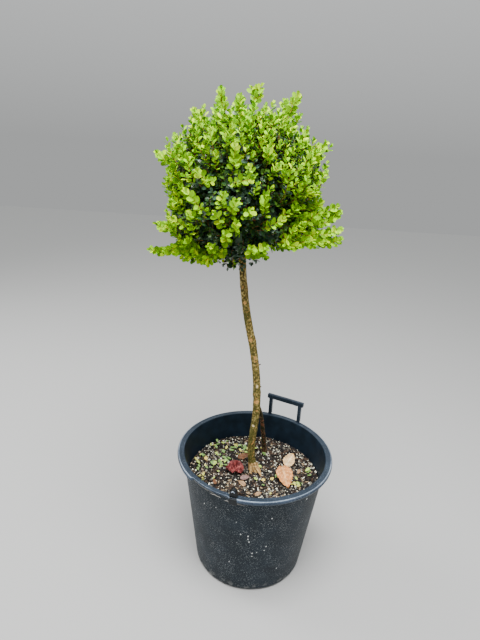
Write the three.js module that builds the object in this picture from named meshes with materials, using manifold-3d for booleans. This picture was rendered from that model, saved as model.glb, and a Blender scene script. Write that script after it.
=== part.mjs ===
// A standard lollipop topiary in its nursery pot: a bare leaning trunk under a loosely clipped ball of
// small leaves, with a thinner second stem behind it and a filled black tub with one standing handle.
// Millimetres, +Z up. The origin is the centre of the pot's flat underside. +X is to the viewer's right,
// +Y is away from the viewer, and the whole handle stands on the far side of the rim.

import * as THREE from 'three';
import * as BufferGeometryUtils from 'three/addons/utils/BufferGeometryUtils.js';
import Module from 'manifold-3d';

const wasm = await Module();
wasm.setup();

// Driving dimensions of the pot
const CLEAR = 0.3;
const POT_HEIGHT = 405;
const RIM_RADIUS = 250;
const FOOT_RADIUS = 178;
const NECK_RADIUS = 231;
const WALL = 4;
const FLOOR = 6;
const CORNER = 14;
const RIM_THICKNESS = 4;
const RIM_LIP = 15;
const RIM_ROUND = 6;
const RIM_EASE = 2;
const ROUND_STEPS = 3;
const POT_SIDES = 56;
const MERGE_STEP = 1e-3;
const SHORTEST_EDGE = 0.1;
const GRID = 0.002;

// Driving dimensions of the handles
const HANDLE_BEARING = 24;
const HANDLE_SEAT_RADIUS = 239;
const HANDLE_SPAN = 124;
const HANDLE_RISE = 78;
const HANDLE_LEG = 12;
const HANDLE_DEPTH = 12;
const HANDLE_BAR = 16;
const HANDLE_NUB = 7;
const STUMP_BEARING = 192;
const STUMP_OUTLINE = [[-12, 0], [12, 0], [12, 10], [8, 20], [3, 27], [-4, 28], [-9, 21], [-11, 10]];

// Driving dimensions of the potting mix: a low mound round the trunk, a level step with the second stem on
// it, and a slope down to the pot's wall
const MOUND_LEVEL = 328;
const MOUND_RADIUS = 66;
const STEP_LEVEL = 322;
const STEP_RADII = [92, 140];
const WALL_LEVEL = 315;
const SOIL_UNEVEN = 5;
const SOIL_EDGE = 1;

// Driving dimensions of the trunk and the second stem
const TRUNK_FOOT_RADIUS = 11;
const TRUNK_TIP_RADIUS = 8.6;
const TRUNK_TAPER = 2.2;
const FLARE_HEIGHT = 34;
const FLARE_SPREAD = 0.8;
const FLARE_BETWEEN = 0.25;
const FLARE_BEARINGS = [20, 130, 255];
const TRUNK_SIDES = 11;
const TRUNK_RINGS = 24;
const TRUNK_SPOTS = 240;
const SECOND_FOOT_RADIUS = 8.2;
const SECOND_TIP_RADIUS = 5.6;
const SECOND_FLARE = 0.4;
const SECOND_FLARE_SHARE = 0.11;
const SECOND_SIDES = 8;
const SECOND_RINGS = 12;

// Driving dimensions of the crown. Its outline is how far the clipped ball reaches from its middle as seen
// from the front, in even steps from the right-hand side (0 degrees) up and over to the left, and its depth
// is how far it reaches towards the front and back.
const CROWN = new THREE.Vector3(-88, 0, 1203);
const CROWN_OUTLINE = [190, 244, 234, 218, 229, 226, 190, 226, 192, 190, 162, 196];
const CROWN_DEPTH = 206;
const CORE_RADIUS = 150;
const CORE_DEPTH = 99;
const CORE_DETAIL = 2;
const MASS_REACH = 128;
const BOUGH_SHARE = 0.5;
const BOUGH_BEND = 0.2;
const BOUGH_RUN_OUT = 0.12;
const BOUGH_TAPER = 0.66;
const BOUGH_RINGS = 5;
const BOUGH_SIDES = 7;
const MASS_MARGIN = 1.2;
const MASS_RINGS = [
  { label: 'top', count: 1, elevation: 90, bearing: 0, boughRadius: 5.4 },
  {
    label: 'upper', count: 4, elevation: 20, bearing: 45,
    boughFoot: 1115, boughStep: 9, boughLift: 38, boughRadius: 4.2, berthHeight: 1152,
  },
  {
    label: 'lower', count: 4, elevation: -36, bearing: 0,
    boughFoot: 1052, boughStep: 12, boughLift: 18, boughRadius: 3.8, berthHeight: 1050,
    undercut: { low: 1112, high: 1181, near: 19, far: 54 },
  },
];
const SHOOT_COUNT = 114;
const SHOOT_UNEVEN = 12.8;
const TIP_LEAF_SHOWS = 27;
const SIDE_EVERY = 3;
const SIDE_FROM = 0.5;
const BEND_SHARE = 0.45;
const STEM_SPREAD = 0.3;
const BARE_SHARE = { main: 0.55, side: 0.3, longLess: 0.12 };
const TRUNK_BERTH = 17;

// Driving dimensions of twigs and leaves
const STEM_RADIUS = 2.8;
const TWIG_RADIUS = 1.9;
const SIDE_RADIUS = 1.5;
const TWIG_TIP_RADIUS = 0.9;
const TWIG_SIDES = 3;
const LEAF_LENGTH = 50;
const LEAF_WIDTH = 31;
const LEAF_THICKNESS = 2.6;
const LEAF_WIDEST = 0.58;
const LEAF_SINK = 0.5;
const TIP_LEAF_SINK = 3.2;
const LEAF_SPACING = 24;
const LEAF_LEAN = 60;
const LEAN_VARIES = 14;
const LEAF_SIZES = [0.86, 1.08];
const LEVEL = new THREE.Vector3(0.3, 0.5, 0.8).normalize();
const TIP_LEAF = 0.8;
const PAIR_START = 0.4;
const PAIR_END = 0.2;
const SEED = 20261;

// Bark, leaf and pot finishes
const FINISH = {
  pot: { color: 0x24282d, roughness: 0.62 },
  mix: { color: 0x3a2e26, roughness: 0.98 },
  bark: { color: 0x6b5a2c, roughness: 0.9 },
  secondBark: { color: 0x5a3f2a, roughness: 0.9 },
  bough: { color: 0x6a4a2c, roughness: 0.85 },
  leaves: [0x3d6b22, 0x4b7d28, 0x2f5a22, 0x5b8f2e, 0x38661f],
};

// The trunk's centreline from the mix up to its tip between the upper boughs
const TRUNK_LINE = [
  [3, -2, MOUND_LEVEL],
  [-6, -2, 356],
  [-11, -2, 392],
  [-12, -2, 430],
  [-7, -2, 505],
  [-5, -2, 560],
  [-11, -1, 655],
  [-26, 0, 751],
  [-47, 0, 840],
  [-61, 0, 912],
  [-71, 0, 985],
  [-78, 0, 1070],
  [-83, 1, 1152],
];

// The second stem rises behind the trunk and leans in until it meets the trunk's back
const SECOND_LINE = [
  [33, 115, STEP_LEVEL],
  [31, 105, 348],
  [27, 88, 388],
  [21, 62, 444],
  [13, 34, 507],
  [3.5, 11.8, 552],
];

// Tips of the long young shoots that stand out of the ball
const LONG_SHOOTS = [
  [-154, -40, 1458],
  [-108, 10, 1457],
  [-62, -10, 1475],
  [42, -15, 1466],
  [18, 60, 1453],
  [-314, -30, 1304],
  [-298, -60, 1112],
  [-332, -10, 1035],
  [-232, 60, 1419],
  [-222, -75, 1040],
  [-168, -85, 1030],
  [182, -30, 1178],
  [183, -45, 1133],
  [192, -40, 1107],
  [143, -60, 1099],
  [131, -40, 1202],
  [96, -87, 1232],
  [120, -20, 1342],
  [60, -110, 1092],
  [120, 90, 1300],
  [-60, 245, 1180],
  [-200, 190, 1290],
  [90, 190, 1130],
];

function seededRandom(seed) {
  let state = seed >>> 0;
  return () => {
    state = (state + 0x6d2b79f5) >>> 0;
    let mixed = Math.imul(state ^ (state >>> 15), 1 | state);
    mixed = (mixed + Math.imul(mixed ^ (mixed >>> 7), 61 | mixed)) ^ mixed;
    return ((mixed ^ (mixed >>> 14)) >>> 0) / 4294967296;
  };
}

function point(list) {
  return new THREE.Vector3(...list);
}

// A bearing is measured from +Y towards +X, in degrees
function outward(bearing, elevation = 0) {
  const turn = THREE.MathUtils.degToRad(bearing);
  const lift = THREE.MathUtils.degToRad(elevation);
  return new THREE.Vector3(
    Math.sin(turn) * Math.cos(lift),
    Math.cos(turn) * Math.cos(lift),
    Math.sin(lift),
  );
}

function closedGeometry(positions, triangles) {
  const geometry = new THREE.BufferGeometry();
  geometry.setAttribute('position', new THREE.Float32BufferAttribute(positions, 3));
  geometry.setIndex(triangles);
  return geometry;
}

// A solid for joining and cutting, from any closed geometry
function toSolid(geometry) {
  const bare = geometry.index ? geometry.toNonIndexed() : geometry.clone();
  bare.deleteAttribute('normal');
  bare.deleteAttribute('uv');
  const merged = BufferGeometryUtils.mergeVertices(bare, MERGE_STEP);
  return new wasm.Manifold(new wasm.Mesh({
    numProp: 3,
    vertProperties: new Float32Array(merged.attributes.position.array),
    triVerts: new Uint32Array(merged.index.array),
  }));
}

// Corners are set on a fine grid, so that none are left almost but not quite in the same place
function toGeometry(solid) {
  const mesh = solid.getMesh();
  const positions = Array.from(mesh.vertProperties, (value) => Math.round(value / GRID) * GRID);
  return closedGeometry(positions, Array.from(mesh.triVerts));
}

// Joins the pieces, evens out edges below the shortest length, and keeps the largest body, which drops
// loose scraps and fills any hollow that is sealed in it. The corners' rounding can pinch off a sliver,
// so this is repeated until one body is left.
function join(geometries) {
  const joined = wasm.Manifold.union(geometries.map(toSolid));
  let bodies = joined.simplify(SHORTEST_EDGE).decompose();
  let geometry;
  do {
    bodies.sort((a, b) => b.volume() - a.volume());
    geometry = toGeometry(bodies[0]);
    bodies = toSolid(geometry).decompose();
  } while (bodies.length > 1);
  return geometry;
}

// Places where a body pinches itself, so that more than two faces share one edge
function pinchedSpots(geometry) {
  const places = geometry.attributes.position;
  const index = geometry.index.array;
  const nameOf = (corner) => [places.getX(corner), places.getY(corner), places.getZ(corner)]
    .map((value) => Math.round(value / GRID)).join(' ');
  const uses = new Map();
  for (let face = 0; face < index.length; face += 3) {
    for (let side = 0; side < 3; side += 1) {
      const ends = [index[face + side], index[face + ((side + 1) % 3)]];
      const edge = ends.map(nameOf).sort().join(' to ');
      const known = uses.get(edge) ?? { count: 0, corner: ends[0] };
      known.count += 1;
      uses.set(edge, known);
    }
  }
  return [...uses.values()].filter(({ count }) => count > 2)
    .map(({ corner }) => new THREE.Vector3().fromBufferAttribute(places, corner));
}

// Joins limbs and leaves, and leaves out each leaf at which the body would pinch itself. A pinch that no
// leaf causes stops the build.
function joinLeafy(limbs, leaves) {
  let kept = leaves;
  let geometry = join([...limbs, ...kept]);
  for (let spots = pinchedSpots(geometry); spots.length > 0; spots = pinchedSpots(geometry)) {
    const near = kept.filter((leaf) => {
      leaf.computeBoundingBox();
      const room = leaf.boundingBox.clone().expandByScalar(1);
      return spots.some((spot) => room.containsPoint(spot));
    });
    if (near.length === 0) {
      throw new Error('A body pinches itself where it has no leaf');
    }
    kept = kept.filter((leaf) => leaf !== near.at(-1));
    geometry = join([...limbs, ...kept]);
  }
  return geometry;
}

// A tapering limb: rings of points swept along a smooth curve, closed by a cap at each end.
// radiusAt gives the radius from the fraction along the limb and the angle round it.
function limbGeometry(line, rings, sides, radiusAt, flatFoot = false) {
  const curve = new THREE.CatmullRomCurve3(line.map((p) => p.clone()), false, 'centripetal');
  const frames = curve.computeFrenetFrames(rings, false);
  const positions = [];
  const triangles = [];
  for (let ring = 0; ring <= rings; ring += 1) {
    const along = ring / rings;
    const centre = curve.getPointAt(along);
    for (let side = 0; side < sides; side += 1) {
      const angle = (2 * Math.PI * side) / sides;
      const radius = radiusAt(along, angle);
      const corner = centre.clone()
        .addScaledVector(frames.normals[ring], Math.cos(angle) * radius)
        .addScaledVector(frames.binormals[ring], Math.sin(angle) * radius);
      if (flatFoot && ring === 0) {
        corner.z = line[0].z;
      }
      positions.push(corner.x, corner.y, corner.z);
    }
  }
  for (let ring = 0; ring < rings; ring += 1) {
    for (let side = 0; side < sides; side += 1) {
      const next = (side + 1) % sides;
      const low = ring * sides;
      const high = low + sides;
      triangles.push(low + side, low + next, high + next);
      triangles.push(low + side, high + next, high + side);
    }
  }
  const top = rings * sides;
  for (let side = 1; side < sides - 1; side += 1) {
    triangles.push(0, side + 1, side);
    triangles.push(top, top + side, top + side + 1);
  }
  return closedGeometry(positions, triangles);
}

function outerRadiusAt(height) {
  const wallSlope = (NECK_RADIUS - FOOT_RADIUS) / (POT_HEIGHT - RIM_THICKNESS);
  return FOOT_RADIUS + wallSlope * height;
}

function innerRadiusAt(height) {
  return outerRadiusAt(height) - WALL;
}

// The pot's closed section, from the middle of its underside up the outside, over the rolled rim and
// down the inside to the middle of its floor
function potProfile() {
  const profile = [new THREE.Vector2(0, 0)];
  for (let step = 0; step <= ROUND_STEPS; step += 1) {
    const turn = (Math.PI / 2) * (step / ROUND_STEPS);
    profile.push(new THREE.Vector2(
      outerRadiusAt(CORNER) - CORNER + CORNER * Math.sin(turn),
      CORNER - CORNER * Math.cos(turn),
    ));
  }
  const underRim = POT_HEIGHT - RIM_THICKNESS;
  profile.push(new THREE.Vector2(outerRadiusAt(underRim), underRim));
  profile.push(new THREE.Vector2(RIM_RADIUS - RIM_THICKNESS, underRim - RIM_EASE / 2));
  profile.push(new THREE.Vector2(RIM_RADIUS - RIM_THICKNESS, POT_HEIGHT - RIM_LIP));
  profile.push(new THREE.Vector2(RIM_RADIUS, POT_HEIGHT - RIM_LIP));
  for (let step = 0; step <= ROUND_STEPS; step += 1) {
    const turn = (Math.PI / 2) * (step / ROUND_STEPS);
    profile.push(new THREE.Vector2(
      RIM_RADIUS - RIM_ROUND + RIM_ROUND * Math.cos(turn),
      POT_HEIGHT - RIM_ROUND + RIM_ROUND * Math.sin(turn),
    ));
  }
  profile.push(new THREE.Vector2(innerRadiusAt(POT_HEIGHT) + RIM_EASE, POT_HEIGHT));
  profile.push(new THREE.Vector2(innerRadiusAt(POT_HEIGHT), POT_HEIGHT - RIM_EASE));
  profile.push(new THREE.Vector2(innerRadiusAt(FLOOR), FLOOR));
  profile.push(new THREE.Vector2(0, FLOOR));
  return profile;
}

function turned(profile, sides) {
  return new THREE.LatheGeometry(profile, sides).rotateX(Math.PI / 2);
}

function bare(geometry) {
  geometry.deleteAttribute('normal');
  geometry.deleteAttribute('uv');
  return BufferGeometryUtils.mergeVertices(geometry, MERGE_STEP);
}

// The potting mix, level where the stems stand on it and a little uneven at the pot's wall
function mixGeometry() {
  const random = seededRandom(SEED);
  const edge = innerRadiusAt(WALL_LEVEL - SOIL_UNEVEN) - CLEAR - SOIL_EDGE;
  const [inner, outer] = STEP_RADII;
  const profile = [
    new THREE.Vector2(0, FLOOR + CLEAR),
    new THREE.Vector2(innerRadiusAt(FLOOR) - CLEAR, FLOOR + CLEAR),
    new THREE.Vector2(edge, WALL_LEVEL),
    new THREE.Vector2((edge + outer) / 2, (WALL_LEVEL + STEP_LEVEL) / 2),
    new THREE.Vector2(outer, STEP_LEVEL),
    new THREE.Vector2(inner, STEP_LEVEL),
    new THREE.Vector2(MOUND_RADIUS, MOUND_LEVEL),
    new THREE.Vector2(0, MOUND_LEVEL),
  ];
  const geometry = bare(turned(profile, POT_SIDES / 2));
  const places = geometry.attributes.position;
  for (let index = 0; index < places.count; index += 1) {
    const reach = Math.hypot(places.getX(index), places.getY(index));
    const isTop = places.getZ(index) > STEP_LEVEL / 2;
    if (isTop && reach > outer + CLEAR) {
      places.setZ(index, places.getZ(index) + SOIL_UNEVEN * (random() - 0.5));
    }
  }
  return geometry;
}

// The standing handle: two legs on the rim and a bar across them whose ends stand a little proud
function handleGeometry() {
  const half = HANDLE_SPAN / 2;
  const shape = new THREE.Shape();
  shape.moveTo(-half, 0);
  shape.lineTo(-half, HANDLE_RISE - HANDLE_BAR);
  shape.lineTo(-half - HANDLE_NUB, HANDLE_RISE - HANDLE_BAR);
  shape.lineTo(-half - HANDLE_NUB, HANDLE_RISE);
  shape.lineTo(half + HANDLE_NUB, HANDLE_RISE);
  shape.lineTo(half + HANDLE_NUB, HANDLE_RISE - HANDLE_BAR);
  shape.lineTo(half, HANDLE_RISE - HANDLE_BAR);
  shape.lineTo(half, 0);
  shape.lineTo(half - HANDLE_LEG, 0);
  shape.lineTo(half - HANDLE_LEG, HANDLE_RISE - HANDLE_BAR);
  shape.lineTo(-half + HANDLE_LEG, HANDLE_RISE - HANDLE_BAR);
  shape.lineTo(-half + HANDLE_LEG, 0);
  shape.closePath();
  const geometry = new THREE.ExtrudeGeometry(shape, { depth: HANDLE_DEPTH, bevelEnabled: false });
  return geometry.translate(0, 0, -HANDLE_DEPTH / 2).rotateX(Math.PI / 2);
}

// What is left of the near handle: one leg's foot, which leans to one side and is broken off short
function stumpGeometry() {
  const shape = new THREE.Shape(STUMP_OUTLINE.map(([across, rise]) => new THREE.Vector2(across, rise)));
  const geometry = new THREE.ExtrudeGeometry(shape, { depth: HANDLE_DEPTH, bevelEnabled: false });
  return geometry.translate(0, 0, -HANDLE_DEPTH / 2).rotateX(Math.PI / 2);
}

// The trunk thins towards its tip, and spreads at its foot into low root buttresses
function trunkRadius(along, angle) {
  const taper = THREE.MathUtils.lerp(TRUNK_FOOT_RADIUS, TRUNK_TIP_RADIUS, along ** TRUNK_TAPER);
  const height = along * (TRUNK_LINE.at(-1)[2] - MOUND_LEVEL);
  const near = Math.max(0, 1 - height / FLARE_HEIGHT) ** 2;
  const lobes = FLARE_BEARINGS.map((bearing) => {
    const away = angle - THREE.MathUtils.degToRad(bearing);
    return Math.max(0, Math.cos(away)) ** 3;
  });
  return taper * (1 + near * (FLARE_BETWEEN + FLARE_SPREAD * Math.max(...lobes)));
}

function secondRadius(along) {
  const spread = SECOND_FLARE * Math.max(0, 1 - along / SECOND_FLARE_SHARE);
  return THREE.MathUtils.lerp(SECOND_FOOT_RADIUS, SECOND_TIP_RADIUS, along) * (1 + spread);
}

const trunkCurve = new THREE.CatmullRomCurve3(TRUNK_LINE.map(point), false, 'centripetal');
const trunkSpots = trunkCurve.getSpacedPoints(TRUNK_SPOTS);

function trunkPointAt(height) {
  return trunkSpots.reduce((best, spot) => (
    Math.abs(spot.z - height) < Math.abs(best.z - height) ? spot : best
  ));
}

function trunkRadiusAt(height) {
  const along = (height - MOUND_LEVEL) / (TRUNK_LINE.at(-1)[2] - MOUND_LEVEL);
  return trunkRadius(THREE.MathUtils.clamp(along, 0, 1), 0);
}

// Each mass has a middle, and keeps to the points that are nearer to its middle than to any other's
function massPlan() {
  const place = (ring, index) => {
    const bearing = ring.bearing + (360 / ring.count) * index;
    const middle = CROWN.clone().addScaledVector(outward(bearing, ring.elevation), MASS_REACH);
    const name = ring.count > 1 ? `${ring.label}_${index + 1}` : ring.label;
    return { name, ring, index, middle, bearing };
  };
  return MASS_RINGS.flatMap((ring) => Array.from({ length: ring.count }, (_, index) => place(ring, index)));
}

// A bough leaves the trunk's side below the middle of its mass, or the trunk's tip for the top mass
function boughFor({ ring, index, bearing }) {
  const radius = ring.boughRadius;
  if (ring.count === 1) {
    const start = trunkCurve.getTangentAt(1);
    const foot = trunkCurve.getPointAt(1).addScaledVector(start, CLEAR);
    return { foot, radius, start };
  }
  const height = ring.boughFoot + ring.boughStep * index;
  const start = outward(bearing, ring.boughLift);
  const sideways = trunkRadiusAt(height) + CLEAR + radius * start.z;
  const foot = trunkPointAt(height).clone().addScaledVector(outward(bearing), sideways);
  return { foot, radius, start };
}

// A cell is the set of flat faces that a mass stays inside: halfway to each neighbour, past the end of
// its bough, off the trunk, and for a lower mass under the upper boughs
function cellPlanes(mass, masses) {
  const planes = masses.filter((other) => other !== mass).map((other) => {
    const normal = other.middle.clone().sub(mass.middle).normalize();
    const half = mass.middle.clone().add(other.middle).multiplyScalar(0.5);
    return { normal, offset: normal.dot(half) - MASS_MARGIN };
  });
  const inner = mass.entryWay.clone().negate();
  planes.push({ normal: inner, offset: inner.dot(mass.entry) - CLEAR });
  const { ring, bearing } = mass;
  if (ring.berthHeight) {
    const inward = outward(bearing).negate();
    const axis = trunkPointAt(ring.berthHeight);
    planes.push({ normal: inward, offset: inward.dot(axis) - TRUNK_BERTH });
  }
  if (ring.undercut) {
    const { low, high, near, far } = ring.undercut;
    const corner = trunkPointAt(low).clone().addScaledVector(outward(bearing), near);
    const slope = new THREE.Vector2(far - near, high - low).normalize();
    const normal = outward(bearing).multiplyScalar(-slope.y);
    normal.z = slope.x;
    planes.push({ normal, offset: normal.dot(corner) });
  }
  return planes;
}

function insideCell(spot, planes) {
  return planes.every(({ normal, offset }) => normal.dot(spot) <= offset);
}

function geometryInside(geometry, planes) {
  const places = geometry.attributes.position;
  const spot = new THREE.Vector3();
  for (let index = 0; index < places.count; index += 1) {
    spot.fromBufferAttribute(places, index);
    if (!insideCell(spot, planes)) {
      return false;
    }
  }
  return true;
}

// The smaller inner body that the twigs and leaves of a mass stand out of
function coreGeometry(mass) {
  const geometry = bare(new THREE.IcosahedronGeometry(1, CORE_DETAIL));
  const places = geometry.attributes.position;
  const heart = mass.middle;
  const way = new THREE.Vector3();
  const spot = new THREE.Vector3();
  for (let index = 0; index < places.count; index += 1) {
    way.fromBufferAttribute(places, index).normalize();
    let reach = CORE_DEPTH;
    mass.planes.forEach(({ normal, offset }) => {
      const closing = normal.dot(way);
      if (closing > 0) {
        reach = Math.min(reach, (offset - normal.dot(heart)) / closing - MASS_MARGIN);
      }
    });
    const from = heart.clone().sub(CROWN);
    const along = from.dot(way);
    const toShell = -along + Math.sqrt(along * along - from.lengthSq() + CORE_RADIUS * CORE_RADIUS);
    reach = Math.min(reach, toShell);
    spot.copy(heart).addScaledVector(way, reach);
    places.setXYZ(index, spot.x, spot.y, spot.z);
  }
  return geometry;
}

// A leaf is a thin blade of eight faces: root, tip, two edges, and a crown above and below
function leafGeometry(root, way, upside, size) {
  const length = LEAF_LENGTH * size;
  const side = new THREE.Vector3().crossVectors(way, upside).normalize();
  const face = new THREE.Vector3().crossVectors(side, way).normalize();
  const at = (along, across, lift) => root.clone()
    .addScaledVector(way, along * length)
    .addScaledVector(side, across * LEAF_WIDTH * size)
    .addScaledVector(face, lift);
  const corners = [
    at(0, 0, 0),
    at(1, 0, 0),
    at(LEAF_WIDEST, 0.5, 0),
    at(LEAF_WIDEST, -0.5, 0),
    at(0.5, 0, LEAF_THICKNESS / 2),
    at(0.5, 0, -LEAF_THICKNESS / 2),
  ];
  const triangles = [
    0, 2, 4, 2, 1, 4, 1, 3, 4, 3, 0, 4,
    2, 0, 5, 1, 2, 5, 3, 1, 5, 0, 3, 5,
  ];
  return closedGeometry(corners.flatMap((corner) => corner.toArray()), triangles);
}

// Leaves stand in pairs along a shoot, each pair turned a quarter from the last, with one at the tip
function leavesAlong(curve, fromFraction, random, planes) {
  const leaves = [];
  const length = curve.getLength();
  const pairs = Math.max(1, Math.floor((length * (1 - fromFraction)) / LEAF_SPACING));
  let turn = random() * Math.PI;
  for (let pair = 0; pair < pairs; pair += 1) {
    const along = THREE.MathUtils.lerp(fromFraction, 1, (pair + PAIR_START) / (pairs + PAIR_END));
    const spot = curve.getPointAt(along);
    const forward = curve.getTangentAt(along);
    const across = LEVEL.clone().cross(forward).normalize().applyAxisAngle(forward, turn);
    [1, -1].forEach((hand) => {
      const lean = THREE.MathUtils.degToRad(LEAF_LEAN + LEAN_VARIES * (random() - 0.5));
      const way = forward.clone().multiplyScalar(Math.cos(lean))
        .addScaledVector(across, hand * Math.sin(lean));
      const root = spot.clone().addScaledVector(way, -LEAF_SINK);
      const size = THREE.MathUtils.lerp(...LEAF_SIZES, random());
      leaves.push(leafGeometry(root, way, forward, size));
    });
    turn += Math.PI / 2;
  }
  const end = curve.getPointAt(1);
  const ahead = curve.getTangentAt(1);
  const face = LEVEL.clone().cross(ahead).normalize();
  const root = end.clone().addScaledVector(ahead, -TIP_LEAF_SINK);
  leaves.push(leafGeometry(root, ahead, face, TIP_LEAF));
  return leaves.filter((leaf) => geometryInside(leaf, planes));
}

function shootCurve(start, leave, end) {
  const reach = start.distanceTo(end);
  const bend = start.clone().addScaledVector(leave, reach * BEND_SHARE);
  return new THREE.QuadraticBezierCurve3(start, bend, end);
}

function twigGeometry(curve, footRadius) {
  const line = curve.getSpacedPoints(3);
  const radiusAt = (along) => THREE.MathUtils.lerp(footRadius, TWIG_TIP_RADIUS, along);
  return limbGeometry(line, 3, TWIG_SIDES, radiusAt);
}

// How far the clipped ball reaches along a way out of its middle
function crownReach(way) {
  const steps = CROWN_OUTLINE.length;
  const turn = ((Math.atan2(way.z, way.x) / (2 * Math.PI) + 1) * steps) % steps;
  const first = Math.floor(turn);
  const share = (1 - Math.cos(Math.PI * (turn - first))) / 2;
  const side = THREE.MathUtils.lerp(CROWN_OUTLINE[first], CROWN_OUTLINE[(first + 1) % steps], share);
  return THREE.MathUtils.lerp(side, CROWN_DEPTH, way.y ** 2);
}

// Tips of the long shoots that stand out of the ball, then shoot tips spread evenly over it
function shootTips(random) {
  const golden = Math.PI * (3 - Math.sqrt(5));
  const tips = LONG_SHOOTS.map((place) => {
    const end = point(place);
    const way = end.clone().sub(CROWN).normalize();
    return { end: end.addScaledVector(way, -LEAF_LENGTH * TIP_LEAF), isLong: true };
  });
  for (let index = 0; index < SHOOT_COUNT; index += 1) {
    const rise = 1 - (2 * (index + 0.5)) / SHOOT_COUNT;
    const flat = Math.sqrt(1 - rise * rise);
    const way = new THREE.Vector3(flat * Math.cos(golden * index), flat * Math.sin(golden * index), rise);
    const reach = crownReach(way) - TIP_LEAF_SHOWS + SHOOT_UNEVEN * (2 * random() - 1);
    tips.push({ end: CROWN.clone().addScaledVector(way, reach), isLong: false });
  }
  return tips;
}

// One mass: its stem, its core, the twigs that branch from the stem, and the leaves on them
function massGeometry(mass, tips, random) {
  const stemWay = mass.middle.clone().sub(mass.entry).normalize();
  const stemStart = mass.entry.clone().addScaledVector(stemWay, CLEAR);
  const stem = limbGeometry([stemStart, mass.middle.clone()], 2, 6, () => STEM_RADIUS);
  const limbs = [stem, coreGeometry(mass)];
  const leaves = [];
  const mine = tips.filter(({ end }) => insideCell(end, mass.planes));
  const grown = [];
  mine.forEach(({ end, isLong }, order) => {
    const parents = grown.filter((twig) => !twig.isSide);
    const isSide = !isLong && order % SIDE_EVERY === SIDE_EVERY - 1 && parents.length > 0;
    let start = mass.middle.clone().lerp(stemStart, STEM_SPREAD * random());
    let leave = end.clone().sub(mass.middle).normalize();
    if (isSide) {
      const nearest = parents.reduce((best, twig) => (
        twig.curve.v2.distanceTo(end) < best.curve.v2.distanceTo(end) ? twig : best
      ));
      start = nearest.curve.getPointAt(SIDE_FROM);
      leave = nearest.curve.getTangentAt(SIDE_FROM).lerp(leave, 0.5).normalize();
    }
    const curve = shootCurve(start, leave, end);
    const twig = twigGeometry(curve, isSide ? SIDE_RADIUS : TWIG_RADIUS);
    if (!geometryInside(twig, mass.planes)) {
      return;
    }
    grown.push({ curve, isSide });
    limbs.push(twig);
    const leafless = isSide ? BARE_SHARE.side : BARE_SHARE.main - (isLong ? BARE_SHARE.longLess : 0);
    leaves.push(...leavesAlong(curve, leafless, random, mass.planes));
  });
  return joinLeafy(limbs, leaves);
}

function plainMesh(name, geometry, { color, roughness }) {
  const material = new THREE.MeshStandardMaterial({ color, roughness, metalness: 0 });
  const mesh = new THREE.Mesh(geometry, material);
  mesh.name = name;
  return mesh;
}

// Pot, its content and its handles
const topiary = new THREE.Group();
const pot = plainMesh('pot', turned(potProfile(), POT_SIDES), FINISH.pot);
const mix = plainMesh('potting_mix', mixGeometry(), FINISH.mix);
topiary.add(pot, mix);

function rimPiece(name, geometry, bearing) {
  const place = new THREE.Group();
  const seat = outward(bearing).multiplyScalar(HANDLE_SEAT_RADIUS);
  place.position.set(seat.x, seat.y, POT_HEIGHT + CLEAR);
  place.rotation.z = -THREE.MathUtils.degToRad(bearing);
  place.add(plainMesh(name, geometry, FINISH.pot));
  return place;
}

topiary.add(rimPiece('pot_handle', handleGeometry(), HANDLE_BEARING));
topiary.add(rimPiece('pot_handle_stump', stumpGeometry(), STUMP_BEARING));

// Trunk and second stem
const trunkLine = TRUNK_LINE.map(point);
const secondLine = SECOND_LINE.map(point);
const trunk = limbGeometry(trunkLine, TRUNK_RINGS, TRUNK_SIDES, trunkRadius, true);
const second = limbGeometry(secondLine, SECOND_RINGS, SECOND_SIDES, secondRadius, true);
topiary.add(plainMesh('trunk', trunk, FINISH.bark));
topiary.add(plainMesh('second_stem', second, FINISH.secondBark));

// Boughs and masses of the crown
const random = seededRandom(SEED);
const tips = shootTips(random);
const masses = massPlan();
masses.forEach((mass) => {
  const bough = boughFor(mass);
  const reach = mass.middle.clone().sub(bough.foot);
  mass.entryWay = reach.clone().normalize();
  mass.entry = bough.foot.clone().addScaledVector(reach, BOUGH_SHARE);
  const bend = bough.foot.clone().addScaledVector(bough.start, reach.length() * BOUGH_BEND);
  const before = mass.entry.clone().addScaledVector(mass.entryWay, -reach.length() * BOUGH_RUN_OUT);
  const line = [bough.foot, bend, before, mass.entry];
  const tip = bough.radius * BOUGH_TAPER;
  const radiusAt = (along) => THREE.MathUtils.lerp(bough.radius, tip, along);
  const limb = limbGeometry(line, BOUGH_RINGS, BOUGH_SIDES, radiusAt);
  topiary.add(plainMesh(`bough_${mass.name}`, limb, FINISH.bough));
});
masses.forEach((mass, index) => {
  mass.planes = cellPlanes(mass, masses);
  const color = FINISH.leaves[index % FINISH.leaves.length];
  const geometry = massGeometry(mass, tips, random);
  topiary.add(plainMesh(`foliage_${mass.name}`, geometry, { color, roughness: 0.6 }));
});

export default topiary;
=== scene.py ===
import math

import bpy
import numpy as np
from mathutils import Matrix, Vector, noise


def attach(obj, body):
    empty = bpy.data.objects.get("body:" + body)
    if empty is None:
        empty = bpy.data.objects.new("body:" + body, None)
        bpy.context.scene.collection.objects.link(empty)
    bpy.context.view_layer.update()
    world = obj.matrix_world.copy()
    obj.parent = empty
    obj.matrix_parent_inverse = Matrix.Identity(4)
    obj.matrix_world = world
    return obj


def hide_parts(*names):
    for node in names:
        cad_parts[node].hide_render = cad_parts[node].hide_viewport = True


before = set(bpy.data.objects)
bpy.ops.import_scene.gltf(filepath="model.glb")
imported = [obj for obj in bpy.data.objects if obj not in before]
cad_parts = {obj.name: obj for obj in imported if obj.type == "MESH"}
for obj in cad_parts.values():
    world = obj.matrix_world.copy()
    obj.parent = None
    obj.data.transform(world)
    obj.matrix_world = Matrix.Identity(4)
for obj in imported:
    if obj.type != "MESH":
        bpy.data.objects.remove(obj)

SEED = 20261
dice = np.random.default_rng(SEED)
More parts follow.
